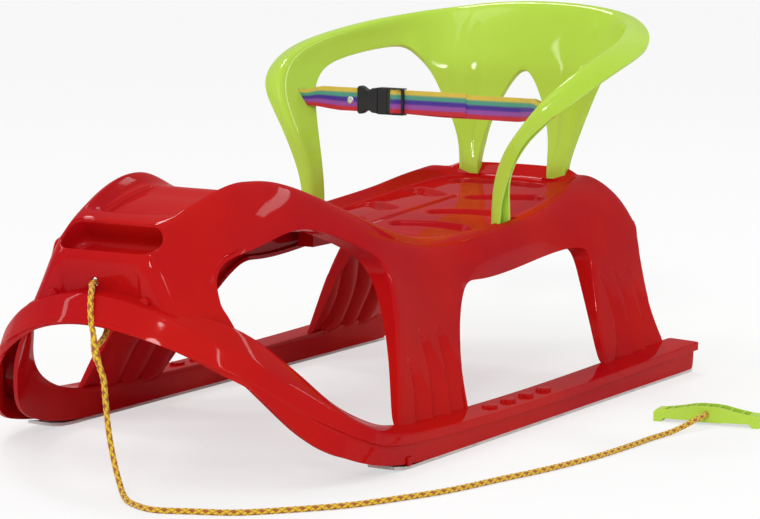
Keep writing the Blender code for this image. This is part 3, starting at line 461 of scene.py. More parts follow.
def prism(name, outline, place, low, high, material, bevel=0.0, segments=3):
    count = len(outline)
    points = [place @ Vector((u, v, level)) for level in (low, high) for u, v in outline]
    faces = [list(range(count))[::-1], list(range(count, 2 * count))] + tubeFaces(2, count)
    piece = meshPiece(name, points, faces, material)
    work = bmesh.new()
    work.from_mesh(piece.data)
    bmesh.ops.recalc_face_normals(work, faces=work.faces)
    work.to_mesh(piece.data)
    work.free()
    if bevel:
        soften(piece, bevel, segments)
        settle(piece)
    return piece


def soften(piece, width, segments=3, angle=30):
    edge = piece.modifiers.new("softEdges", "BEVEL")
    edge.width = width
    edge.segments = segments
    edge.limit_method = "ANGLE"
    edge.angle_limit = math.radians(angle)
    return piece


def rectangle(x, y, wider=0.0):
    left, right, front, rear = x[0] - wider, x[1] + wider, y[0] - wider, y[1] + wider
    return [(left, front), (right, front), (right, rear), (left, rear)]


def slab(name, x, y, z, material, bevel=0.0):
    return prism(name, rectangle(x, y), Matrix.Identity(4), z[0], z[1], material, bevel)


def rounded(halfWidth, halfHeight, radius, steps):
    outline = []
    for corner in range(4):
        sx = 1 if corner in (0, 3) else -1
        sy = 1 if corner in (0, 1) else -1
        for step in range(steps + 1):
            angle = math.pi / 2 * (corner + step / steps)
            outline.append((sx * (halfWidth - radius) + radius * math.cos(angle),
                            sy * (halfHeight - radius) + radius * math.sin(angle)))
    return outline


def joined(name, pieces):
    # several small bodies of one kind, kept as one piece
    work = bmesh.new()
    for piece in pieces:
        mesh = piece.data.copy()
        mesh.transform(piece.matrix_world)
        work.from_mesh(mesh)
        bpy.data.meshes.remove(mesh)
    mesh = bpy.data.meshes.new(name)
    work.to_mesh(mesh)
    work.free()
    mesh.materials.append(pieces[0].data.materials[0])
    for piece in pieces:
        bpy.data.objects.remove(piece)
    made = bpy.data.objects.new(name, mesh)
    bpy.context.scene.collection.objects.link(made)
    roundOff(made, 38)
    return made


# A smooth line through a route's points, with a point every so often
def smoothRoute(route, spacing, stretch=24):
    knots = [Vector(p) for p in route]
    ends = [knots[0] * 2 - knots[1]] + knots + [knots[-1] * 2 - knots[-2]]
    fine = []
    for a, b, c, d in zip(ends, ends[1:], ends[2:], ends[3:]):
        for step in range(stretch):
            t = step / stretch
            fine.append(0.5 * (b * 2 + (c - a) * t + (a * 2 - b * 5 + c * 4 - d) * t * t
                               + (b * 3 - a - c * 3 + d) * t * t * t))
    fine.append(knots[-1])
    far = [0.0]
    for a, b in zip(fine, fine[1:]):
        far.append(far[-1] + (b - a).length)
    count = max(round(far[-1] / spacing), 2)
    wanted = np.linspace(0, far[-1], count + 1)
    lines = [np.interp(wanted, far, [p[axis] for p in fine]) for axis in range(3)]
    return [Vector(p) for p in zip(*lines)], far[-1]


def layOut(piece, uvs):
    # length along the piece and place across it, which its finish follows
    piece.data.uv_layers.new(name="lay").data.foreach_set("uv", np.array(uvs, np.float32).ravel())


# Rope: a tube whose surface rises and falls with its strands
ropeLook = {"radius": 0.0028, "step": 0.0007, "around": 24, "ply": 0.00075}


def ropePiece(name, route, look):
    line, length = smoothRoute([mm(*place) for place in route], look["step"])
    around, last = look["around"], len(line) - 1
    turned = (line[1] - line[0]).orthogonal().normalized()
    points = []
    for number, place in enumerate(line):
        ahead = (line[min(number + 1, last)] - line[max(number - 1, 0)]).normalized()
        turned = (turned - ahead * turned.dot(ahead)).normalized()
        other = ahead.cross(turned)
        turns = length * number / last / cordLook["pitch"]
        for step in range(around):
            spot = step / around
            first = (spot + turns) * cordLook["strands"] / 2
            second = (spot - turns) * cordLook["strands"] / 2
            over = abs(math.floor(first) + math.floor(second)) % 2 > 0.5
            ply = abs(((first if over else second) % 1.0) - 0.5) * 2
            reach = look["radius"] - look["ply"] * ply * ply
            if "taper" in look:
                end = min(number, last - number) / len(line)
                reach *= look["thin"] + (1 - look["thin"]) * min(1.0, end / look["taper"]) ** 0.7
            angle = spot * math.tau
            points.append(place + (turned * math.cos(angle) + other * math.sin(angle)) * reach)
    faces = tubeFaces(len(line), around)
    faces += [list(range(around))[::-1], list(range(last * around, (last + 1) * around))]
    uvs = []
    for ring in range(last):
        low, high = length * ring / last, length * (ring + 1) / last
        for step in range(around):
            left, right = step / around, (step + 1) / around
            uvs += [(low, left), (low, right), (high, right), (high, left)]
    uvs += [(0.0, step / around) for step in range(around)][::-1]
    uvs += [(length, step / around) for step in range(around)]
    piece = meshPiece(name, points, faces, yellowCord)
    layOut(piece, uvs)
    roundOff(piece, 70)
    return piece, line, length


pullRoute = [(17.9, -418.7, 123.0), (21, -417.5, 112), (25.3, -417, 99.5), (27.5, -417.5, 81.7),
             (31.5, -419.5, 59), (37.2, -423, 42.1), (45.8, -429, 26.1), (56, -436.5, 13.2), (67, -446, 5.6),
             (80, -456, 3.1), (98, -465.5, 2.8), (112, -469.5, 2.8), (124, -468, 2.8), (145, -458.5, 2.8),
             (172, -447, 2.8), (192, -433, 2.8), (221, -401, 2.8), (250, -363, 2.8), (272, -318, 2.8),
             (293, -266, 2.8), (309, -200, 2.8), (325, -135, 2.8), (337, -60, 2.8), (341, 0, 2.8),
             (342, 38, 2.8), (344, 64, 2.8), (347, 82, 3.8), (350.5, 101, 6.4), (353, 117, 9.2),
             (354.7, 131, 10.7), (353.2, 143.5, 10.8), (352.1, 149.9, 10.8)]
loopRoute = [(15.9, -418.6, 134.5), (15.2, -418.0, 140), (13.3, -418.2, 149.5), (9.6, -414.4, 162),
             (5.8, -408.0, 174.9), (0.6, -399.5, 177.4), (-6.4, -390.5, 179.9), (-7.5, -384, 180.6),
             (-7, -376, 179.4), (-5.8, -370.5, 174.5), (-4, -369, 167), (-1, -370.5, 158), (3, -376, 149.5),
             (7.5, -386, 141), (11.5, -397, 134), (15.2, -412.3, 128.6)]
pullRope, pullLine, pullLength = ropePiece("pullRope", pullRoute, ropeLook)
ropeLoop, loopLine, loopLength = ropePiece("ropeLoop", loopRoute, ropeLook)

# Splice that closes the loop: its tail is braided back into the rope
spliceLook = {"radius": 0.0037, "step": 0.0007, "around": 28, "ply": 0.0009, "taper": 0.35, "thin": 0.62}
spliceRoute = [(15.4, -418.1, 139.0), (15.9, -418.4, 134.5), (17.0, -418.6, 128.5), (17.9, -418.7, 123.0),
               (19.5, -418.2, 117.0), (21.2, -417.5, 111.5)]
ropeKnot = ropePiece("ropeKnot", spliceRoute, spliceLook)[0]
for piece, node in ((pullRope, "pull_rope"), (ropeLoop, "rope_loop"), (ropeKnot, "rope_knot")):
    dress(piece, "sled", "yellow_cord", node)
print("rope laid:", round(pullLength, 3), "m and", round(loopLength, 3), "m")


# Floor, light and surroundings
def paperWhite(name, look):
    # seen by the camera, a share of the paper's white is its own, so that shadows on it stay pale
    sheet = FinishSheet(name)
    sheet.finish(Base_Color=(look["floor"],) * 3, Roughness=0.9, Specular_IOR_Level=0.1)
    seen = sheet.node("ShaderNodeLightPath", {}, {}, "Is Camera Ray") * look["paper"]
    white = sheet.node("ShaderNodeEmission", {}, {"Color": (1.0, 1.0, 1.0), "Strength": 1.0})
    own = Wire(sheet, sheet.shader.outputs[0])
    paper = sheet.node("ShaderNodeMixShader", {}, {0: seen, 1: own, 2: white})
    sheet.put(sheet.tree.nodes["Material Output"].inputs["Surface"], paper)
    return sheet.material


stageLook = {"floor": 0.96, "halfSize": 24, "sky": 0.50, "paper": 0.6}
floorEdges = (-stageLook["halfSize"], stageLook["halfSize"])
floor = meshPiece("studioFloor", [(x, y, 0) for x, y in rectangle(floorEdges, floorEdges)], [[0, 1, 2, 3]],
                  paperWhite("paperFloor", stageLook))
world = bpy.data.worlds.new("studio")
bpy.context.scene.world = world
world.use_nodes = True
world.node_tree.nodes["Background"].inputs["Color"].default_value = (1, 1, 1, 1)
world.node_tree.nodes["Background"].inputs["Strength"].default_value = stageLook["sky"]


def lamp(name, kind, energy, place, target, **settings):
    data = bpy.data.lights.new(name, kind)
    data.energy = energy
    for key, value in settings.items():
        setattr(data, key, value)
    made = bpy.data.objects.new(name, data)
    made.location = place
    made.rotation_euler = (Vector(target) - Vector(place)).to_track_quat("-Z", "Y").to_euler()
    bpy.context.scene.collection.objects.link(made)


# Suns: strength, spread in degrees, place. Strips: watts, place, what they face, width and height
suns = {"overheadSoft": (0.45, 30, (-0.8, -1.2, 4.0)), "rearSoft": (0.55, 12, (-1.6, 1.4, 2.6)),
        "sideSoft": (0.68, 9, (1.05, -2.6, 1.7))}
strips = {"leftStrip": (8, (-2.2, -1.4, 1.9), (0, 0, 0.2), (0.16, 1.8)),
          "sideStrip": (5, (2.6, -1.7, 1.0), (0, 0, 0.2), (0.05, 1.5)),
          "frontStrip": (9, (1.3, -2.2, 2.4), (0, 0, 0.2), (1.3, 0.07)),
          "rearStrip": (6, (1.0, 2.0, 2.0), (0, 0.1, 0.2), (1.6, 0.2))}
for name, (strength, spread, place) in suns.items():
    lamp(name, "SUN", strength, place, (0, 0, 0.1), angle=math.radians(spread))
for name, (watts, place, target, (wide, high)) in strips.items():
    lamp(name, "AREA", watts, place, target, shape="RECTANGLE", size=wide, size_y=high)
print("studio set")


# Body: one moulded skin. Stations run from front to rear and each row from the middle outwards, in mm
bodyLook = {"wall": 0.004, "levels": 3, "openingEdge": 0.7, "rimEdge": 0.6, "foot": 0.035,
            "band": (-372, -320), "bandHigh": 0.13}
bodyStations = [
    # foot of the front face, behind the bumper band
    [(0, -387, 158), (20, -387, 158), (38, -387, 158), (52, -387, 158), (66, -387, 156), (76, -386, 153),
     (95, -373, 142), (122, -328, 122)],
    # front face
    [(0, -388, 185), (17, -388, 185), (33, -388, 185), (45, -388, 185), (56, -387, 185), (62, -384, 185),
     (76, -372, 177), (102, -341, 160)],
    # lower lip of the hand slot
    [(0, -389, 211), (16, -389, 211), (30, -389, 211), (42, -388, 211), (49, -386, 210), (54, -382, 209),
     (71, -364, 201), (92, -339, 186)],
    # upper lip of the hand slot
    [(0, -361, 234), (16, -361, 234), (30, -361, 234), (43, -362, 234), (50, -362, 232), (55, -359, 228),
     (72, -347, 216), (96, -329, 199)],
    # front crest of the recessed panel
    [(0, -340, 239), (17, -340, 239), (32, -340, 239), (43, -340, 241), (51, -340, 241), (58, -341, 237),
     (77, -330, 221), (100, -322, 203)],
    # front edge of the recessed panel
    [(0, -331, 232), (17, -331, 232), (33, -331, 232), (43, -330, 235), (52, -329, 245), (61, -329, 241),
     (82, -317, 223), (101, -306, 205)],
    # panel
    [(0, -288, 247), (22, -288, 247), (42, -288, 247), (50, -288, 248), (59, -287, 260), (69, -286, 257),
     (88, -284, 235), (103, -276, 209)],
    # rear edge of the panel
    [(0, -240, 254), (24, -240, 254), (45, -240, 254), (53, -240, 256), (63, -240, 267), (73, -240, 263),
     (92, -240, 240), (104, -236, 218)],
    # crest
    [(0, -200, 246), (26, -200, 246), (48, -200, 247), (60, -200, 252), (73, -200, 260), (84, -200, 256),
     (100, -200, 236), (108, -200, 218)],
    # neck
    [(0, -150, 230), (28, -150, 230), (55, -150, 231), (72, -150, 234), (86, -150, 239), (99, -150, 235),
     (111, -150, 216), (117, -150, 200)],
    # front of the front leg
    [(0, -90, 206), (30, -90, 206), (60, -90, 207), (80, -90, 211), (95, -90, 214), (108, -90, 210),
     (123, -92, 194), (133, -106, 178), (152, -119, 145), (171, -150, 90), (187, -175, 32)],
    # middle of the front leg
    [(0, -30, 189), (32, -30, 189), (65, -30, 190), (86, -30, 191), (102, -30, 192), (116, -30, 188),
     (131, -30, 172), (139, -36, 149), (151, -54, 112), (169, -82, 74), (187, -98, 28.5)],
    # front rim of the seat, and the rear of the front leg
    [(0, 30, 184), (35, 30, 184), (70, 30, 184), (92, 31, 184), (107, 32, 184), (120, 33, 181),
     (133, 38, 166), (138, 37, 142), (150, 4, 112), (167, -22, 68), (187, -40, 27.5)],
    # front edge of the seat pan
    [(0, 43, 180), (35, 43, 180), (70, 44, 179), (96, 47, 175), (110, 50, 184), (124, 54, 181),
     (136, 58, 166), (138, 61, 139)],
    [(0, 100, 187), (36, 100, 186), (73, 100, 183), (102, 100, 176), (114, 100, 185), (127, 100, 182),
     (138, 100, 166), (138, 100, 138)],
    [(0, 160, 190), (36, 160, 190), (74, 160, 187), (104, 160, 179), (116, 160, 188), (128, 160, 185),
     (138, 160, 169), (138, 160, 142)],
    [(0, 220, 194), (35, 220, 193), (71, 220, 190), (102, 220, 184), (113, 220, 193), (125, 220, 190),
     (137, 220, 174), (138, 220, 148)],
    # front of the rear leg
    [(0, 275, 197), (33, 275, 196), (67, 275, 194), (95, 275, 190), (106, 275, 199), (118, 275, 196),
     (136, 280, 180), (149, 289, 152), (163, 270, 116), (175, 257, 68), (187, 252, 28.5)],
    [(0, 325, 200), (31, 325, 200), (63, 325, 198), (90, 325, 196), (101, 325, 208), (113, 325, 205),
     (137, 326, 187), (151, 325, 152), (163, 320, 114), (174, 318, 68), (187, 312, 29.5)],
    # rear edge of the seat pan
    [(0, 389, 204), (28, 387, 204), (54, 381, 203), (78, 370, 203), (91, 367, 214), (103, 366, 211),
     (135, 366, 192), (152, 366, 152), (161, 366, 112), (172, 366, 68), (187, 362, 30.5)],
    # rear rim, and the rear of the rear leg
    [(0, 402, 218), (30, 400, 218), (58, 393, 218), (80, 387, 217), (96, 383, 215), (112, 385, 210),
     (136, 391, 189), (151, 394, 151), (159, 393, 112), (169, 394, 68), (186, 396, 31.5)],
    # rear skirt
    [(0, 414, 199), (33, 412, 199), (62, 407, 198), (85, 401, 196), (100, 400, 194), (114, 402, 189),
     (134, 404, 174), (146, 404, 158)],
    [(0, 419, 168), (35, 418, 168), (66, 414, 167), (88, 411, 166), (101, 411, 165), (113, 411, 164),
     (128, 410, 162), (138, 408, 160)],
]


# How far the edge of an opening turns inwards, in mm. Each row: from and up to which y, how much more than
# the least, and between which heights that grows
returnLook = {"least": 9, "rear": (380, 155, 120, 150), "rearReturn": (-0.009, -0.010, 0.003),
              "more": [(-999, -320, 4, 125, 160), (-320, -95, 19, 105, 172), (240, 300, 17, 65, 150),
                       (300, 380, 3, -1, 0), (380, 999, 4, 60, 150)]}


def openingReturn(p):
    x, y, z = inMm(p)
    behind, above, inner, outer = returnLook["rear"]
    if y > behind and z > above:
        turn = share(x, inner, outer)
        across, along, less = returnLook["rearReturn"]
        return Vector((across * turn, along + less * turn, 0))
    depth = returnLook["least"]
    for first, last, more, low, high in returnLook["more"]:
        if first <= y < last:
            depth += more * share(z, low, high)
    return Vector((-depth / 1000, 0, 0))


def openEdges(points, faces, leaveOut):
    seen = {}
    for face in faces:
        for a, b in zip(face, face[1:] + face[:1]):
            seen[frozenset((a, b))] = seen.get(frozenset((a, b)), 0) + 1
    return [(a, b) for face in faces for a, b in zip(face, face[1:] + face[:1])
            if seen[frozenset((a, b))] == 1 and not leaveOut(a, b)]


def bodyCage():
    points, index = [], {}
    for column, station in enumerate(bodyStations):
        for row, place in enumerate(station):
            index[column, row] = len(points)
            points.append(mm(*place))
    faces = []
    for column in range(len(bodyStations) - 1):
        for row in range(10):
            corners = [(column, row), (column, row + 1), (column + 1, row + 1), (column + 1, row)]
            if all(corner in index for corner in corners):
                faces.append([index[corner] for corner in corners])

    def leaveOut(a, b):
        # edges that stand on a runner or on the band, or that lie in the middle
        pa, pb = points[a], points[b]
        front, rear = (yPlace(limit) for limit in bodyLook["band"])
        low = max(pa.z, pb.z) < bodyLook["foot"] or max(pa.y, pb.y) < front or max(pa.x, pb.x) < 1e-6
        return low or (max(pa.y, pb.y) < rear and min(pa.z, pb.z) < bodyLook["bandHigh"])

    creases, turned = [], {}
    for a, b in openEdges(points, faces, leaveOut):
        for vertex in (a, b):
            if vertex not in turned:
                turned[vertex] = len(points)
                points.append(points[vertex] + openingReturn(points[vertex]))
        faces.append([b, a, turned[a], turned[b]])
        creases.append(((a, b), bodyLook["openingEdge"]))
    rims = [(index[c, r], index[c + 1, r]) for c in range(4, 7) for r in (3, 4)]
    rims += [(index[c, r], index[c + 1, r]) for c in range(12, 19) for r in (3, 4)]
    rims += [(index[c, r], index[c, r + 1]) for c in (4, 5, 12, 13, 19, 20) for r in range(3)]
    return points, faces, creases + [(edge, bodyLook["rimEdge"]) for edge in rims]


# Troughs pressed into the seat: two ends, half width, depth, in mm
seatLook = {"wide": 13.0, "deep": 6.5, "slope": 6.0, "above": 165, "fineAbove": 170, "margin": 4,
            "troughs": [((27, 95), (83, 121)), ((30, 166), (80, 204)), ((24, 258), (74, 296))],
            "rear": ((-46, 350), (46, 350)), "groove": ((0, 84), (0, 258)), "grooveWide": 5.5,
            "grooveDeep": 3.5}
# Claw grooves of the legs. The boxes say where the skin is made finer, and where its inner face is evened
clawLook = {"deep": 7.6, "steep": 0.42, "drop": 2.0, "outwards": 140, "rounds": 90, "press": 0.05,
            "fine": [((148, 999), (-146, -14), (20, 132)), ((148, 999), (266, 400), (20, 132))],
            "even": [((130, 999), (-152, -12), (12, 136)), ((130, 999), (262, 402), (12, 136))]}
# Each claw from its tip down: height, front edge, rear edge
clawGrooves = [
    [(125, 283.6, 283.6), (114, 287, 299), (105, 289.5, 310), (91, 293, 318), (74, 295.4, 324),
     (61, 293, 324), (44.5, 287, 320), (30, 273, 317), (20, 270, 316)],
    [(126, 315.8, 315.8), (114, 320, 332), (100, 326, 348), (86, 329, 357), (70.5, 328, 360),
     (61, 325, 358), (44.5, 320, 353.6), (30, 317, 350), (20, 316, 349)],
    [(126, 347.7, 347.7), (114, 352, 363), (100, 360, 379), (91, 362, 386), (82, 363, 392), (70, 362.5, 400),
     (58, 358, 402), (43.5, 353.6, 404), (30, 350, 404), (20, 349, 404)],
    [(92, -127.7, -127.7), (79, -128.3, -114), (65, -130.5, -105), (54.5, -133, -100), (38, -140, -104),
     (30, -143, -108), (20, -144, -109)],
    [(114, -87.9, -87.9), (100, -89.6, -73.4), (85, -89.4, -65.4), (70.6, -92, -61.6), (58, -98, -63.1),
     (46.3, -101.5, -67.4), (30, -108, -73), (20, -109, -74)],
    [(111, -49.2, -49.2), (100, -51.5, -37.7), (85, -54.5, -30.5), (73.7, -57, -28), (64.4, -60.7, -20),
     (46.3, -67.4, -18), (30, -73, -18), (20, -74, -18)],
]


# Grooves round the hood's sunken panel, the flat of its front face, and where the skin is made finer
hoodLook = {"grooves": [((-42, -322), (-44, -246)), ((42, -322), (44, -246)), ((-42, -325), (42, -325))],
            "wide": 2.6, "deep": 1.2, "panel": (42, -323, -236), "panelDeep": 3.6, "panelEdge": 4.5,
            "panelEnd": 30, "panelAbove": 225, "flat": (46, 158, 208), "flatBefore": -376,
            "flatDeep": 3.4, "soft": 6, "fade": 34,
            "fine": [((34, 50), (-333, -228), (225, 999)), ((-1, 50), (-333, -314), (225, 999)),
                     ((-1, 54), (-999, -380), (160, 208))]}


def pressHood(piece):
    look = hoodLook
    refine(piece, lambda points: inAreas(points, look["fine"]))
    places, normals = skinPoints(piece)
    x, y, z = inMm(places.T)
    drop = np.zeros(len(x))
    for start, end in look["grooves"]:
        drop = np.maximum(drop, look["deep"] * ease((look["wide"] - away(x, y, start, end)) / look["wide"]))
    half, first, last = look["panel"]
    sunk = look["panelDeep"] * ease((half - np.abs(x)) / look["panelEdge"])
    sunk *= ease((y - first) / look["panelEdge"]) * ease((last - y) / look["panelEnd"])
    drop = np.where((z > look["panelAbove"]) & (normals[:, 2] > 0.3), drop + sunk, 0)
    half, low, high = look["flat"]
    flat = look["flatDeep"] * ease((half - np.abs(x)) / look["soft"])
    flat *= ease((z - low) / look["soft"]) * ease((high - z) / look["fade"])
    drop = np.where((y < look["flatBefore"]) & (normals[:, 1] < -0.5), flat, drop)
    places -= normals * (drop / 1000)[:, None]
    moveSkin(piece, places)


def away(x, y, start, end):
    ax, ay, bx, by = *start, *end
    t = np.clip(((x - ax) * (bx - ax) + (y - ay) * (by - ay)) / ((bx - ax) ** 2 + (by - ay) ** 2), 0, 1)
    return np.hypot(x - ax - t * (bx - ax), y - ay - t * (by - ay))


def pressSeat(piece):
    look = seatLook
    lines = [((side * a[0], a[1]), (side * b[0], b[1]), look["wide"], look["deep"])
             for a, b in look["troughs"] for side in (-1, 1)]
    lines.append((*look["rear"], look["wide"], look["deep"]))
    lines.append((*look["groove"], look["grooveWide"], look["grooveDeep"]))

    def near(points):
        x, y, z = inMm(points)
        close = [away(x, y, a, b) < wide + look["margin"] for a, b, wide, deep in lines]
        return (z > look["fineAbove"]) & np.any(close, axis=0)

    refine(piece, near)
    places, normals = skinPoints(piece)
    x, y, z = inMm(places.T)
    drop = np.zeros(len(x))
    for start, end, wide, deep in lines:
        slope = min(look["slope"], wide)
        drop = np.maximum(drop, deep * ease((wide - away(x, y, start, end)) / slope))
    places[:, 2] -= np.where((normals[:, 2] > 0.6) & (z > look["above"]), drop, 0) / 1000
    moveSkin(piece, places)


def pressClaws(piece):
    refine(piece, lambda points: inAreas(points, clawLook["fine"]))
    places, normals = skinPoints(piece)
    x, y, z = inMm(places.T)
    outwards = (np.abs(x) > clawLook["outwards"]) & (normals[:, 0] * np.sign(x) > 0.35)
    for claw in clawGrooves:
        heights, front, rear = (np.array(column, float) for column in zip(*claw[::-1]))
        low, high = np.interp(z, heights, front), np.interp(z, heights, rear)
        wide = np.maximum(high - low, 0.5)
        # a steep drop at the front edge of a claw, and a slope back out to its rear edge
        drop = ease((y - low) / clawLook["drop"]) * np.clip((high - y) / wide, 0, 1)
        inside = outwards & (y > low) & (y < high) & (z < heights[-1])
        deep = np.minimum(clawLook["deep"], wide * clawLook["steep"])
        places -= normals * (np.where(inside, drop * deep, 0) / 1000)[:, None]
    moveSkin(piece, places)


def evenInside(piece):
    # the claws hardly show on the inner face of a leg
    mesh = piece.data
    places = skinPoints(piece)[0]
    count = len(places)
    inside = np.zeros(count, bool)
    for face in mesh.polygons:
        if face.material_index == 1:
            inside[list(face.vertices)] = True
    chosen = inside & inAreas(places.T, clawLook["even"])
    ends = np.empty(len(mesh.edges) * 2, np.int32)
    mesh.edges.foreach_get("vertices", ends)
    a, b = ends.reshape(-1, 2).T
    keep = chosen[a] & chosen[b]
    a, b = a[keep], b[keep]
    links = np.bincount(a, minlength=count) + np.bincount(b, minlength=count)
    inner = links >= 4
    for again in range(clawLook["rounds"]):
        total = np.stack([np.bincount(a, places[b, axis], count) + np.bincount(b, places[a, axis], count)
                          for axis in range(3)], 1)
        places[inner] += 0.6 * (total[inner] / links[inner, None] - places[inner])
        places[inner, 0] -= np.sign(places[inner, 0]) * clawLook["press"] / 1000
    moveSkin(piece, places)
    mesh.polygons.foreach_set("material_index", np.zeros(len(mesh.polygons), np.int32))
    mesh.materials.pop(index=1)


# Hand slot. The bowl's rings: how wide against the rim, and how far down
slotLook = {"middle": (0, -372.5, 222.5), "halfWide": 0.054, "halfHigh": 0.016, "corner": 0.0155, "lean": 42,
            "roll": 0.0042, "deep": 0.030, "wall": 0.0016, "steps": 12, "cut": 0.025, "cutWider": 0.45,
            "bowl": [(1.0, 0.4), (0.995, 0.65), (0.98, 0.8), (0.93, 0.92), (0.8, 0.99), (0.4, 1.0)]}
slotLean = Matrix.Rotation(math.radians(slotLook["lean"]), 4, "X")
slotPlace = Matrix.Translation(mm(*slotLook["middle"])) @ slotLean


def slotOutline(wider):
    halfWide, halfHigh, corner = (slotLook[key] + wider for key in ("halfWide", "halfHigh", "corner"))
    return rounded(halfWide, halfHigh, corner, slotLook["steps"])


def openHood(skin):
    # the slot's edge rolls in from the skin and runs down into a closed bowl
    mesh = skin.data
    tree = BVHTree.FromPolygons([v.co for v in mesh.vertices], [tuple(p.vertices) for p in mesh.polygons])
    turn = slotPlace.to_3x3()
    roll, deep = slotLook["roll"], slotLook["deep"]

    def level(u, v):
        hit = tree.ray_cast(slotPlace @ Vector((u, v, 0.02)), turn @ Vector((0, 0, -1)), 0.06)
        return 0.02 - hit[3] if hit[0] else -0.008

    rings = []
    for step in range(7):
        turnIn = math.pi / 2 * step / 6
        rings.append([(u, v, level(u, v) + 0.0001 - roll * (1 - math.cos(turnIn)))
                      for u, v in slotOutline(roll * (1 - math.sin(turnIn)) - 0.0002)])
    rim = rings[-1]
    for scale, down in slotLook["bowl"]:
        rings.append([(u * scale, v * scale, z + (-deep - z) * down) for u, v, z in rim])
    count = len(rim)
    points = [slotPlace @ Vector(place) for ring in rings for place in ring]
    faces = tubeFaces(len(rings), count)
    faces.append(list(range((len(rings) - 1) * count, len(rings) * count)))
    bowl = meshPiece("handSlotBowl", points, faces, redPlastic)
    dress(thicken(bowl, slotLook["wall"], sharpAngle=60), "sled", "red_plastic")


def aroundY(x, y, z):
    return Matrix.Translation(mm(x, y, z)) @ Matrix.Rotation(math.radians(90), 4, "X")


def circle(radius, count=32):
    turns = [math.tau * i / count for i in range(count)]
    return [(radius * math.cos(turn), radius * math.sin(turn)) for turn in turns]


# Sockets for the backrest's feet, in mm: inner x, outer x, front y, rear y, floor, rim
socketLook = {"arm": (106.2, 119.3, 137.2, 177.0, 149.0, 176.5),
              "leg": (42.9, 67.7, 382.7, 394.8, 182.0, 205.5), "wall": 0.003, "cutTo": 0.24}


def socketPieces():
    cutters, boxes = [], []
    wall = socketLook["wall"]
    for inner, outer, front, rear, base, rim in (socketLook["arm"], socketLook["leg"]):
        base, rim = base / 1000, rim / 1000
        y = (yPlace(front), yPlace(rear))
        for side in (-1, 1):
            x = sorted((side * inner / 1000, side * outer / 1000))
            cutters.append(slab("socketRoom", x, y, (base, socketLook["cutTo"]), redPlastic))
            room, walls = rectangle(x, y), rectangle(x, y, wall)
            rings = [(walls, base - wall), (walls, rim), (room, rim), (room, base)]
            points = [(u, v, level) for ring, level in rings for u, v in ring]
            faces = [[3, 2, 1, 0], [12, 13, 14, 15]] + tubeFaces(4, 4)
            boxes.append(meshPiece("socketBox", points, faces, redPlastic))
    return cutters, boxes


points, faces, creases = bodyCage()
bodySkin = smoothed(meshPiece("sledBodySkin", points, faces, redPlastic, creases), bodyLook["levels"])
pressSeat(bodySkin)
pressHood(bodySkin)
pressClaws(bodySkin)
socketCutters, socketBoxes = socketPieces()
openHood(bodySkin)
slotCutter = prism("slotCut", slotOutline(slotLook["roll"] * slotLook["cutWider"]), slotPlace,
                   -slotLook["cut"], slotLook["cut"], redPlastic)
ropeHole = {"radius": 0.0042, "x": -7.5, "z": 181.2, "from": 0.378, "to": 0.396}
ropeCutter = prism("ropeHoleCut", circle(ropeHole["radius"]), aroundY(ropeHole["x"], 0, ropeHole["z"]),
                   ropeHole["from"], ropeHole["to"], redPlastic)
bodySkin.data.materials.append(redPlastic)
thicken(bodySkin, bodyLook["wall"], socketCutters + [slotCutter, ropeCutter])
evenInside(bodySkin)
dress(bodySkin, "sled", "red_plastic", "sled_body")
dress(joined("footSockets", socketBoxes), "sled", "red_plastic")
print("body skin made:", len(bodySkin.data.polygons), "faces")

# Runners, horns and bumper band, rear to front. Each station: foot of the inner wall, inner and outer edge
# of the top, crease under the lip, foot of the outer wall
runnerLook = {"halfWide": 215, "top": 37, "lip": 9, "step": 3.2, "wall": 0.004, "levels": 3, "edge": 0.8}


def runnerStation(y, top, bank=0.0, foot=3.3, setBack=0.0):
    outer = runnerLook["halfWide"]
    inner = outer - runnerLook["top"]
    return [(inner + 2, y - setBack, foot), (inner, y, top + bank), (outer, y, top),
            (outer - 0.2, y, top - runnerLook["lip"]), (outer - 0.2, y - setBack, foot)]


runnerStations = [
    runnerStation(420, 32.5, 1.5, 3.3, 6.0), runnerStation(408, 32.5, 1.5),
    runnerStation(360, 31.5, 1.5),
    runnerStation(270, 29.5, 1.5), runnerStation(180, 28.0, 1.5), runnerStation(60, 27.0, 1.5),
    runnerStation(-60, 28.5, 1.5), runnerStation(-130, 30.5, 1.5), runnerStation(-185, 33.0, 2.5, 3.6),
    [(183, -228, 9), (180, -220, 45), (214, -235, 38), (214.5, -236, 27), (213, -234, 9)],
    [(173, -268, 20), (167, -263, 67), (206, -265, 51), (208, -267, 38), (209, -266, 16)],
    [(165, -292, 33), (155, -284, 91), (193, -285, 63), (196, -286, 48), (198, -289, 26)],
    [(153, -312, 50), (140, -300, 112), (176, -305, 79), (180, -307, 61), (184, -312, 36)],
    [(138, -332, 76), (126, -319, 131), (158, -325, 95), (162, -328, 79), (167, -334, 62)],
    [(120, -350, 101), (113, -343, 147), (142, -348, 117), (147, -351, 97), (149, -354, 91)],
    [(101, -362, 125), (96, -361, 155), (118, -369, 132), (125, -374, 110), (124, -370, 104)],
    [(76, -374, 142), (72, -375, 163), (85, -390, 154), (94, -395, 126), (92, -387, 124)],
    [(42, -378, 160), (42, -379, 170), (46, -402, 169), (53, -414, 142), (53, -407, 140)],
    [(0, -378, 167), (0, -379, 176), (0, -407, 176), (0, -422, 152), (0, -416, 149)],
]


def lipped(station):
    # the wall under the lip stands a little way in
    inner, top, lip, foot = (Vector(station[number]) for number in (1, 2, 3, 4))
    into, down = (inner - top).normalized(), foot - lip
    step = runnerLook["step"] * share(down.length, 3, 12)
    into = Vector((into.x, into.y * 0.3, 0)).normalized() * step
    ledge = lip + into + down * min(1.2 / max(down.length, 0.1), 0.3)
    ledge.y += (foot.y - lip.y) * share(abs(foot.y - lip.y), 5.5, 6) * 0.7
    return station[:4] + [tuple(ledge), tuple(foot + into)]


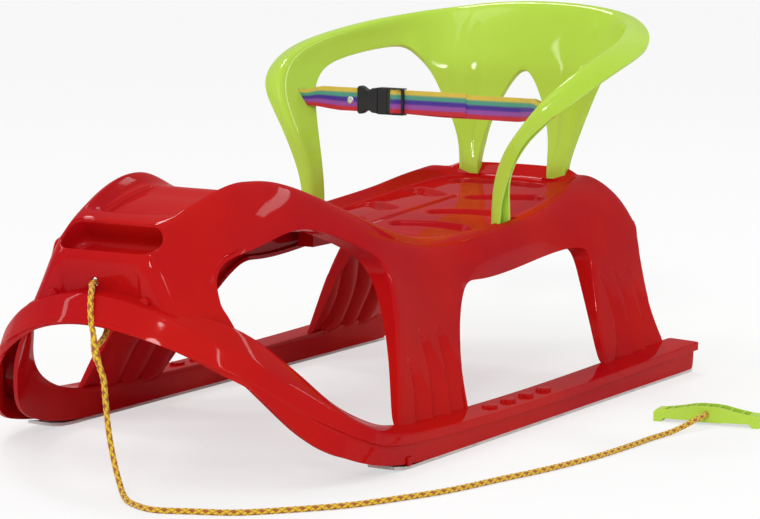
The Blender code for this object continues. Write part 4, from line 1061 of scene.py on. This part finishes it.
def runnerCage():
    rows = 6
    points = [mm(*place) for station in runnerStations for place in lipped(station)]
    faces = []
    for column in range(len(runnerStations) - 1):
        for row in range(rows - 1):
            a = column * rows + row
            faces.append([a, a + rows, a + 1 + rows, a + 1])
    edges = [(column * rows + row, (column + 1) * rows + row) for row in (1, 2, 3, 4)
             for column in range(len(runnerStations) - 1)]
    edges += [(row, row + 1) for row in range(rows - 1)]
    return points, faces, [(edge, runnerLook["edge"]) for edge in edges]


points, faces, creases = runnerCage()
runners = smoothed(meshPiece("runnersAndBand", points, faces, redPlastic, creases), runnerLook["levels"])
thicken(runners, runnerLook["wall"])
dress(runners, "sled", "red_plastic")

# Foot grips, the two bumps over the band, and the clips that hold the strips
gripLook = {"count": 4, "x": 0.1980, "first": -20.0, "pitch": 37.0, "halfLong": 0.0104, "halfWide": 0.0072,
            "low": 0.022, "high": 0.0307, "teeth": 9, "jag": 0.26, "steps": 88, "bevel": 0.0004}
bumpLook = {"radius": 0.005, "x": 50.5, "y": -386, "z": 167, "high": 0.0066, "bevel": 0.0016}
clipLook = {"x": (0.2112, 0.2130), "y": (-202, -194), "z": (0.0036, 0.0125), "bevel": 0.0005}


def jagged(look):
    outline = []
    for step in range(look["steps"]):
        turn = math.tau * step / look["steps"]
        reach = 1 - look["jag"] * (0.5 + 0.5 * math.cos(look["teeth"] * turn)) ** 0.7
        outline.append((look["halfWide"] * reach * math.cos(turn), look["halfLong"] * reach * math.sin(turn)))
    return outline


small = []
for side in (-1, 1):
    for number in range(gripLook["count"]):
        along = yPlace(gripLook["first"] + number * gripLook["pitch"])
        place = Matrix.Translation((side * gripLook["x"], along, 0))
        small.append(prism("grip", jagged(gripLook), place, gripLook["low"], gripLook["high"], redPlastic,
                           gripLook["bevel"]))
    place = aroundY(side * bumpLook["x"], bumpLook["y"], bumpLook["z"])
    small.append(prism("bump", circle(bumpLook["radius"]), place, 0, bumpLook["high"], redPlastic,
                       bumpLook["bevel"]))
    clipX = sorted(side * edge for edge in clipLook["x"])
    clipY = [yPlace(edge) for edge in clipLook["y"]]
    small.append(slab("clip", clipX, clipY, clipLook["z"], redPlastic, clipLook["bevel"]))
dress(joined("gripsAndBumps", small), "sled", "red_plastic")
print("runners made")


# Backrest: half of its sheet. Panel rows run from the middle outwards: far edge of the rolled rim, fold,
# face, lower edge
backLook = {"wall": 0.0036, "levels": 3, "turned": 7.0, "edge": 0.6, "armFoot": (107, 138, 26, 11.5),
            "legFoot": (43.7, 383.5, 23.2, 10.5), "bulge": 3.0, "pillarHigh": 2.6,
            "armDown": (202, 150), "legDown": (220, 206, 183), "armsBefore": 300, "straight": 0.232,
            "widen": (0.225, 0.280), "slits": (-69.0, 43.4), "slitHalf": 0.4, "slitY": (370, 392),
            "slitZ": (0.2135, 0.2235)}
backPanel = [
    [(0, 462, 396), (36, 460, 395), (74, 457, 392), (106, 449, 387)],
    [(0, 447, 397), (36, 446, 396), (70, 442, 394), (100, 434, 389)],
    [(0, 428, 362), (34, 427, 361), (66, 422, 359), (103, 410, 356)],
    [(0, 411, 334), (31, 408, 328), (66, 402, 326), (108, 384, 324)],
]
# Stations along an arm: edge of the rolled rim, fold, rear or lower edge
backArm = [
    [(133, 425, 382), (118, 416, 388), (118, 376, 339)],
    [(160, 391, 376), (135, 390, 384), (129, 374, 346)],
    [(187, 346, 369), (151, 350, 379), (139, 369, 347)],
    [(203, 306, 360), (166, 305, 371), (153, 338, 343)],
    [(208, 271, 353), (173, 267, 366), (162, 301, 338)],
    [(207, 232, 343), (174, 217, 354), (165, 265, 331)],
    [(200, 194, 328), (172, 185, 343), (160, 238, 322)],
    [(190, 172, 314), (163, 155, 325), (151, 214, 309)],
    [(175, 156, 300), (151, 140, 307), (141, 200, 293)],
    [(152, 142, 278), (133, 132, 277), (128, 182, 277)],
    [(139, 138, 259), (120, 134, 258), (117, 169, 258)],
    [(126, 139, 229), (109, 139, 229), (107, 160, 229)],
]
# Rows down a rear leg, from its inner edge outwards
backLeg = [
    [(23, 405, 298), (45, 404, 300), (70, 399, 301), (97, 386, 303)],
    [(37, 396, 266), (50, 396, 266), (66, 394, 266), (80, 389, 267)],
    [(42, 390, 240), (51, 391, 240), (60, 390, 240), (70, 387, 241)],
]


def backCage():
    points, faces = [], []

    def rowOf(places):
        first = len(points)
        points.extend(mm(*p) for p in places)
        return list(range(first, first + len(places)))

    def strip(upper, lower):
        for a, b, c, d in zip(upper, upper[1:], lower[1:], lower):
            faces.append([a, d, c, b])

    rows = [rowOf(row) for row in backPanel]
    for upper, lower in zip(rows, rows[1:]):
        strip(upper, lower)
    rim = set(rows[0])
    edge = [row[-1] for row in rows]
    footX, footY, footLong, footDeep = backLook["armFoot"]
    down = [list(station) for station in backArm]
    for z in backLook["armDown"]:
        down.append([(footX + footDeep, footY, z), (footX, footY, z), (footX, footY + footLong, z)])
    for outer, fold, lower in down:
        outwards = Vector(((fold[0] + lower[0]) / 2, (fold[1] + lower[1]) / 2 - 250, 0)).normalized()
        bulge = backLook["bulge"] * share(fold[2], 202, 260)
        middle = (Vector(fold) + Vector(lower)) / 2 + outwards * bulge
        following = rowOf([outer, fold, tuple(middle), lower])
        for a, b, c, d in zip(edge, edge[1:], following[1:], following):
            faces.append([a, b, c, d])
        rim.add(following[0])
        edge = following
    feet = set(edge)
    legX, legY, legWide = backLook["legFoot"][:3]
    legs = [rowOf(row) for row in backLeg]
    for z in backLook["legDown"]:
        legs.append(rowOf([(legX + legWide * part / 3, legY, z) for part in range(4)]))
    strip(rows[-1], legs[0])
    for upper, lower in zip(legs, legs[1:]):
        strip(upper, lower)
    feet.update(legs[-1])
    return points, faces, rim, feet


def turnEdges(points, faces, rim, feet):
    work = bmesh.new()
    verts = [work.verts.new(p) for p in points]
    for face in faces:
        work.faces.new([verts[i] for i in face])
    work.normal_update()
    normals = [v.normal.copy() for v in verts]
    work.free()

    def leaveOut(a, b):
        middle = max(points[a].x, points[b].x) < 1e-6
        return middle or (a in rim and b in rim) or (a in feet and b in feet)

    creases, turned = [], {}
    for a, b in openEdges(points, faces, leaveOut):
        for vertex in (a, b):
            if vertex not in turned:
                p = points[vertex]
                onArm = p.y < yPlace(backLook["armsBefore"])
                inwards = -normals[vertex]
                if abs(p.x) < 1e-6:
                    inwards.x = 0
                if p.z < backLook["straight"]:
                    inwards = Vector((1, 0, 0)) if onArm else Vector((0, 1, 0))
                foot = backLook["armFoot" if onArm else "legFoot"][3]
                deep = foot + (backLook["turned"] - foot) * share(p.z, *backLook["widen"])
                turned[vertex] = len(points)
                points.append(p + inwards.normalized() * deep / 1000)
        faces.append([b, a, turned[a], turned[b]])
        creases.append(((a, b), backLook["edge"]))
    return creases


# Two raised pillars that run down the panel into the legs: height, distance from the middle, half width
pillarLine = [(390, 75, 5), (372, 76, 9), (352, 73, 12), (332, 70, 13), (312, 67, 13.5), (292, 65, 13),
              (266, 63, 10), (240, 60, 8), (215, 55, 8)]


def raisePillars(piece):
    places, normals = skinPoints(piece)
    x, y, z = inMm(places.T)
    heights, middles, halves = (np.array(column, float) for column in zip(*pillarLine[::-1]))
    across = (np.abs(x) - np.interp(z, heights, middles)) / np.interp(z, heights, halves)
    fade = ease((z - 190) / 40) * ease((386 - z) / 14)
    facing = ease((-normals[:, 1] - 0.35) / 0.3) * (y > 375)
    rise = np.power(np.clip(1 - across * across, 0, 1), 0.7) * backLook["pillarHigh"] * fade * facing
    places[:, 1] -= rise / 1000
    moveSkin(piece, places)


points, faces, rim, feet = backCage()
creases = turnEdges(points, faces, rim, feet)
backrest = smoothed(meshPiece("backrestShell", points, faces, limePlastic, creases), backLook["levels"])
raisePillars(backrest)
# The belt's bunching and folds: how much, in mm, from where, and over what reach
beltLook = {"wide": 0.025, "thick": 0.0013, "z": 0.300, "front": 195.0, "step": 1.8, "slots": (183.0, 194.0),
            "slotX": (131, 162), "slotZ": (0.2895, 0.3095), "slotPlay": 0.0006, "into": 143,
            "reach": 155.5, "sag": 0.14, "rows": 10, "corner": 0.0012, "piece": 0.0025,
            "bunchLow": (4.6, 104, 38), "bunchHigh": (3.8, 128, 15), "fold": (3.6, 149, 5),
            "lower": (1.5, 0.105, 0.060)}
backCutters = []
for side in (-1, 1):
    for slotY in beltLook["slots"]:
        x = sorted(side * edge / 1000 for edge in beltLook["slotX"])
        y = [yPlace(slotY) + edge * (beltLook["thick"] / 2 + beltLook["slotPlay"]) for edge in (-1, 1)]
        backCutters.append(slab("strapSlot", x, y, beltLook["slotZ"], limePlastic))
slitY = [yPlace(edge) for edge in backLook["slitY"]]
for x in backLook["slits"]:
    slitX = [(x + edge * backLook["slitHalf"]) / 1000 for edge in (-1, 1)]
    backCutters.append(slab("legSlit", slitX, slitY, backLook["slitZ"], limePlastic))
thicken(backrest, backLook["wall"], backCutters)
dress(backrest, "backrest", "green_plastic", "backrest")
print("backrest made:", len(backrest.data.polygons), "faces")


# Belt: bands standing on edge along a path seen from above
def bandPiece(name, path, look, lower=None):
    corners = [mm(x, y, 0) for x, y in path]
    for repeat in range(2):  # corners rounded by cutting them twice
        cut = [corners[0]]
        for a, b in zip(corners, corners[1:]):
            near = min(0.25, look["corner"] / max((b - a).length, 1e-6))
            cut += [a.lerp(b, near), a.lerp(b, 1 - near)]
        corners = cut + [corners[-1]]
    line = [corners[0]]
    for a, b in zip(corners, corners[1:]):
        steps = max(1, round((b - a).length / look["piece"]))
        line += [a.lerp(b, (step + 1) / steps) for step in range(steps)]
    line = [line[0]] + [b for a, b in zip(line, line[1:]) if (b - a).length > 1e-5]
    rows = look["rows"]
    points, faces, uvs, gone = [], [], [], [0.0]
    for a, b in zip(line, line[1:]):
        gone.append(gone[-1] + (b - a).length)

    def rise(far, amount, start, reach):
        return amount * float(ease((far - start) / reach))

    for place, far in zip(line, gone):
        # the band bunches up towards the slots, which are narrower than it
        x, y = abs(place.x) * 1000, place.y * 1000 - middleY
        low = rise(x, *look["bunchLow"]) + rise(x, *look["fold"])
        high = rise(x, *look["bunchHigh"])
        hang = look["sag"] * max(y - look["front"], 0) + (rise(far, *lower) if lower else 0.0)
        for row in range(rows + 1):
            z = look["z"] + look["wide"] * (row / rows - 0.5)
            z += (low * (1 - row / rows) - high * row / rows - hang) / 1000
            points.append(place + Vector((0, 0, z)))
    for number in range(len(line) - 1):
        for row in range(rows):
            a, b = number * (rows + 1) + row, (number + 1) * (rows + 1) + row
            faces.append([a, b, b + 1, a + 1])
            low, high = gone[number] / look["wide"], gone[number + 1] / look["wide"]
            uvs += [(low, row / rows), (high, row / rows), (high, (row + 1) / rows), (low, (row + 1) / rows)]
    piece = meshPiece(name, points, faces, stripedWebbing)
    layOut(piece, uvs)
    return thicken(piece, look["thick"], offset=0, sharpAngle=50), gone[-1]


def armLoop(side, front):
    # out through the front slot of an arm, back in through its rear slot
    look = beltLook
    out, back = look["slots"]
    into, reach = look["into"], look["reach"]
    line = [(112, front - 1.5), (into - 5, out + 0.6), (into, out), (reach - 3, out),
            (reach - 0.8, out + 0.8), (reach, out + 3), (reach, back - 3), (reach - 0.8, back - 0.8),
            (reach - 3, back), (into - 1, back), (118, front + look["step"] - 0.4),
            (104, front + look["step"])]
    return [(side * x, y) for x, y in line]


front, layer = beltLook["front"], beltLook["step"]
plugRear, plugFront = front + 2.45, front - 2.45
leftPath = [(-79.3, front)] + armLoop(-1, front) + [(-88.0, front + layer)]
rightPath = [(47.0, plugRear - 2), (-27.0, plugRear - 2), (-31.6, plugRear - 2), (-37.9, plugFront),
             (-42.35, plugFront), (-44.35, plugFront + 1.6), (-44.35, plugRear - 1.6), (-42.35, plugRear)]
rightPath += armLoop(1, plugRear) + [(88.0, plugRear + layer)]
strapLeft, leftLength = bandPiece("strapLeft", leftPath, beltLook)
strapRight, rightLength = bandPiece("strapRight", rightPath, beltLook, beltLook["lower"])
dress(strapLeft, "backrest", "striped_webbing", "strap_left")
# the right strap keeps its place, with its placing baked into its mesh, and stands for its CAD node
mm(50, beltLook["front"], 300)
mm(102, beltLook["front"], 300)
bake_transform(strapRight)
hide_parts("strap_right")
print("belt laid:", round(leftLength, 3), "m and", round(rightLength, 3), "m")

# Buckle housing: a waisted outline, a mouth for the strap and room for the plug's prongs, in mm. Each cut is
# its range in x, half its thickness and half its height
housingLook = {"left": -84.0, "z": 300.0, "halfThick": 4.3, "bevel": 0.0013,
               "edge": [(0, 12.4), (0.7, 14.1), (2.6, 15.0), (5.4, 14.8), (8.2, 13.2), (10.8, 11.5),
                        (13.2, 10.9), (15.2, 11.2), (17.2, 12.5), (19.2, 13.3), (21.4, 13.3), (23.6, 13.7),
                        (25.5, 14.2)],
               "cuts": [((-94.0, -79.0), 1.15, 13.0), ((-75.5, -48.5), 2.7, 11.2),
                        ((-72.5, -65.0), 2.7, 30.0)]}


def housing(look):
    upper = [(x / 1000, z / 1000) for x, z in look["edge"]]
    outline = upper + [(x, -z) for x, z in reversed(upper)]
    half = look["halfThick"] / 1000
    piece = prism("buckleHousing", outline, aroundY(look["left"], beltLook["front"], look["z"]), -half, half,
                  blackPlastic, look["bevel"], 4)
    cutters = []
    for x, thick, high in look["cuts"]:
        y = [yPlace(beltLook["front"]) + edge * thick / 1000 for edge in (-1, 1)]
        z = [(look["z"] + edge * high) / 1000 for edge in (-1, 1)]
        cutters.append(slab("housingCut", [edge / 1000 for edge in x], y, z, blackPlastic))
    return thicken(piece, 0, cutters)


dress(housing(housingLook), "backrest", "black_plastic", "buckle_socket")

# Pieces whose CAD shape is right: softened edges and their own finish
for node, width, material in (("buckle_plug", 0.0005, blackPlastic),
                              ("rope_handle", 0.0005, limePlastic), ("runner_rail_left", 0.0004, stripSteel),
                              ("runner_rail_right", 0.0004, stripSteel)):
    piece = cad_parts[node]
    piece.data.materials.clear()
    piece.data.materials.append(material)
    soften(piece, width)


# Rivet: a domed head, seen from the front
rivetLook = {"x": -94.0, "z": 299.0, "head": 4.0, "shaft": 1.7, "dome": 1.2, "steps": 10, "around": 40}


def rivetPiece(look):
    face = beltLook["front"] - beltLook["thick"] * 500 - 0.3
    back = beltLook["front"] + beltLook["step"] + beltLook["thick"] * 500 + 0.3
    quarter = [math.pi / 2 * i / look["steps"] for i in range(look["steps"])]
    profile = [(look["head"] * math.cos(angle), face - 0.25 - look["dome"] * math.sin(angle))
               for angle in quarter][::-1]
    profile += [(look["head"], face), (look["shaft"], face), (look["shaft"], back), (look["head"], back),
                (look["head"], back + 0.6), (look["head"] - 0.4, back + 0.8)]
    count, last = look["around"], (len(profile) - 1) * look["around"]
    points = [mm(look["x"] + u, y, look["z"] + v) for radius, y in profile for u, v in circle(radius, count)]
    faces = [quad[:1] + quad[:0:-1] for quad in tubeFaces(len(profile), count)]
    faces += [list(range(count)), list(range(last, last + count))[::-1]]
    piece = meshPiece("strapRivet", points, faces, rivetSteel)
    roundOff(piece, 40)
    return piece


dress(rivetPiece(rivetLook), "backrest", "rivet_metal", "strap_rivet")
print("buckle, rivet, handle and strips finished")
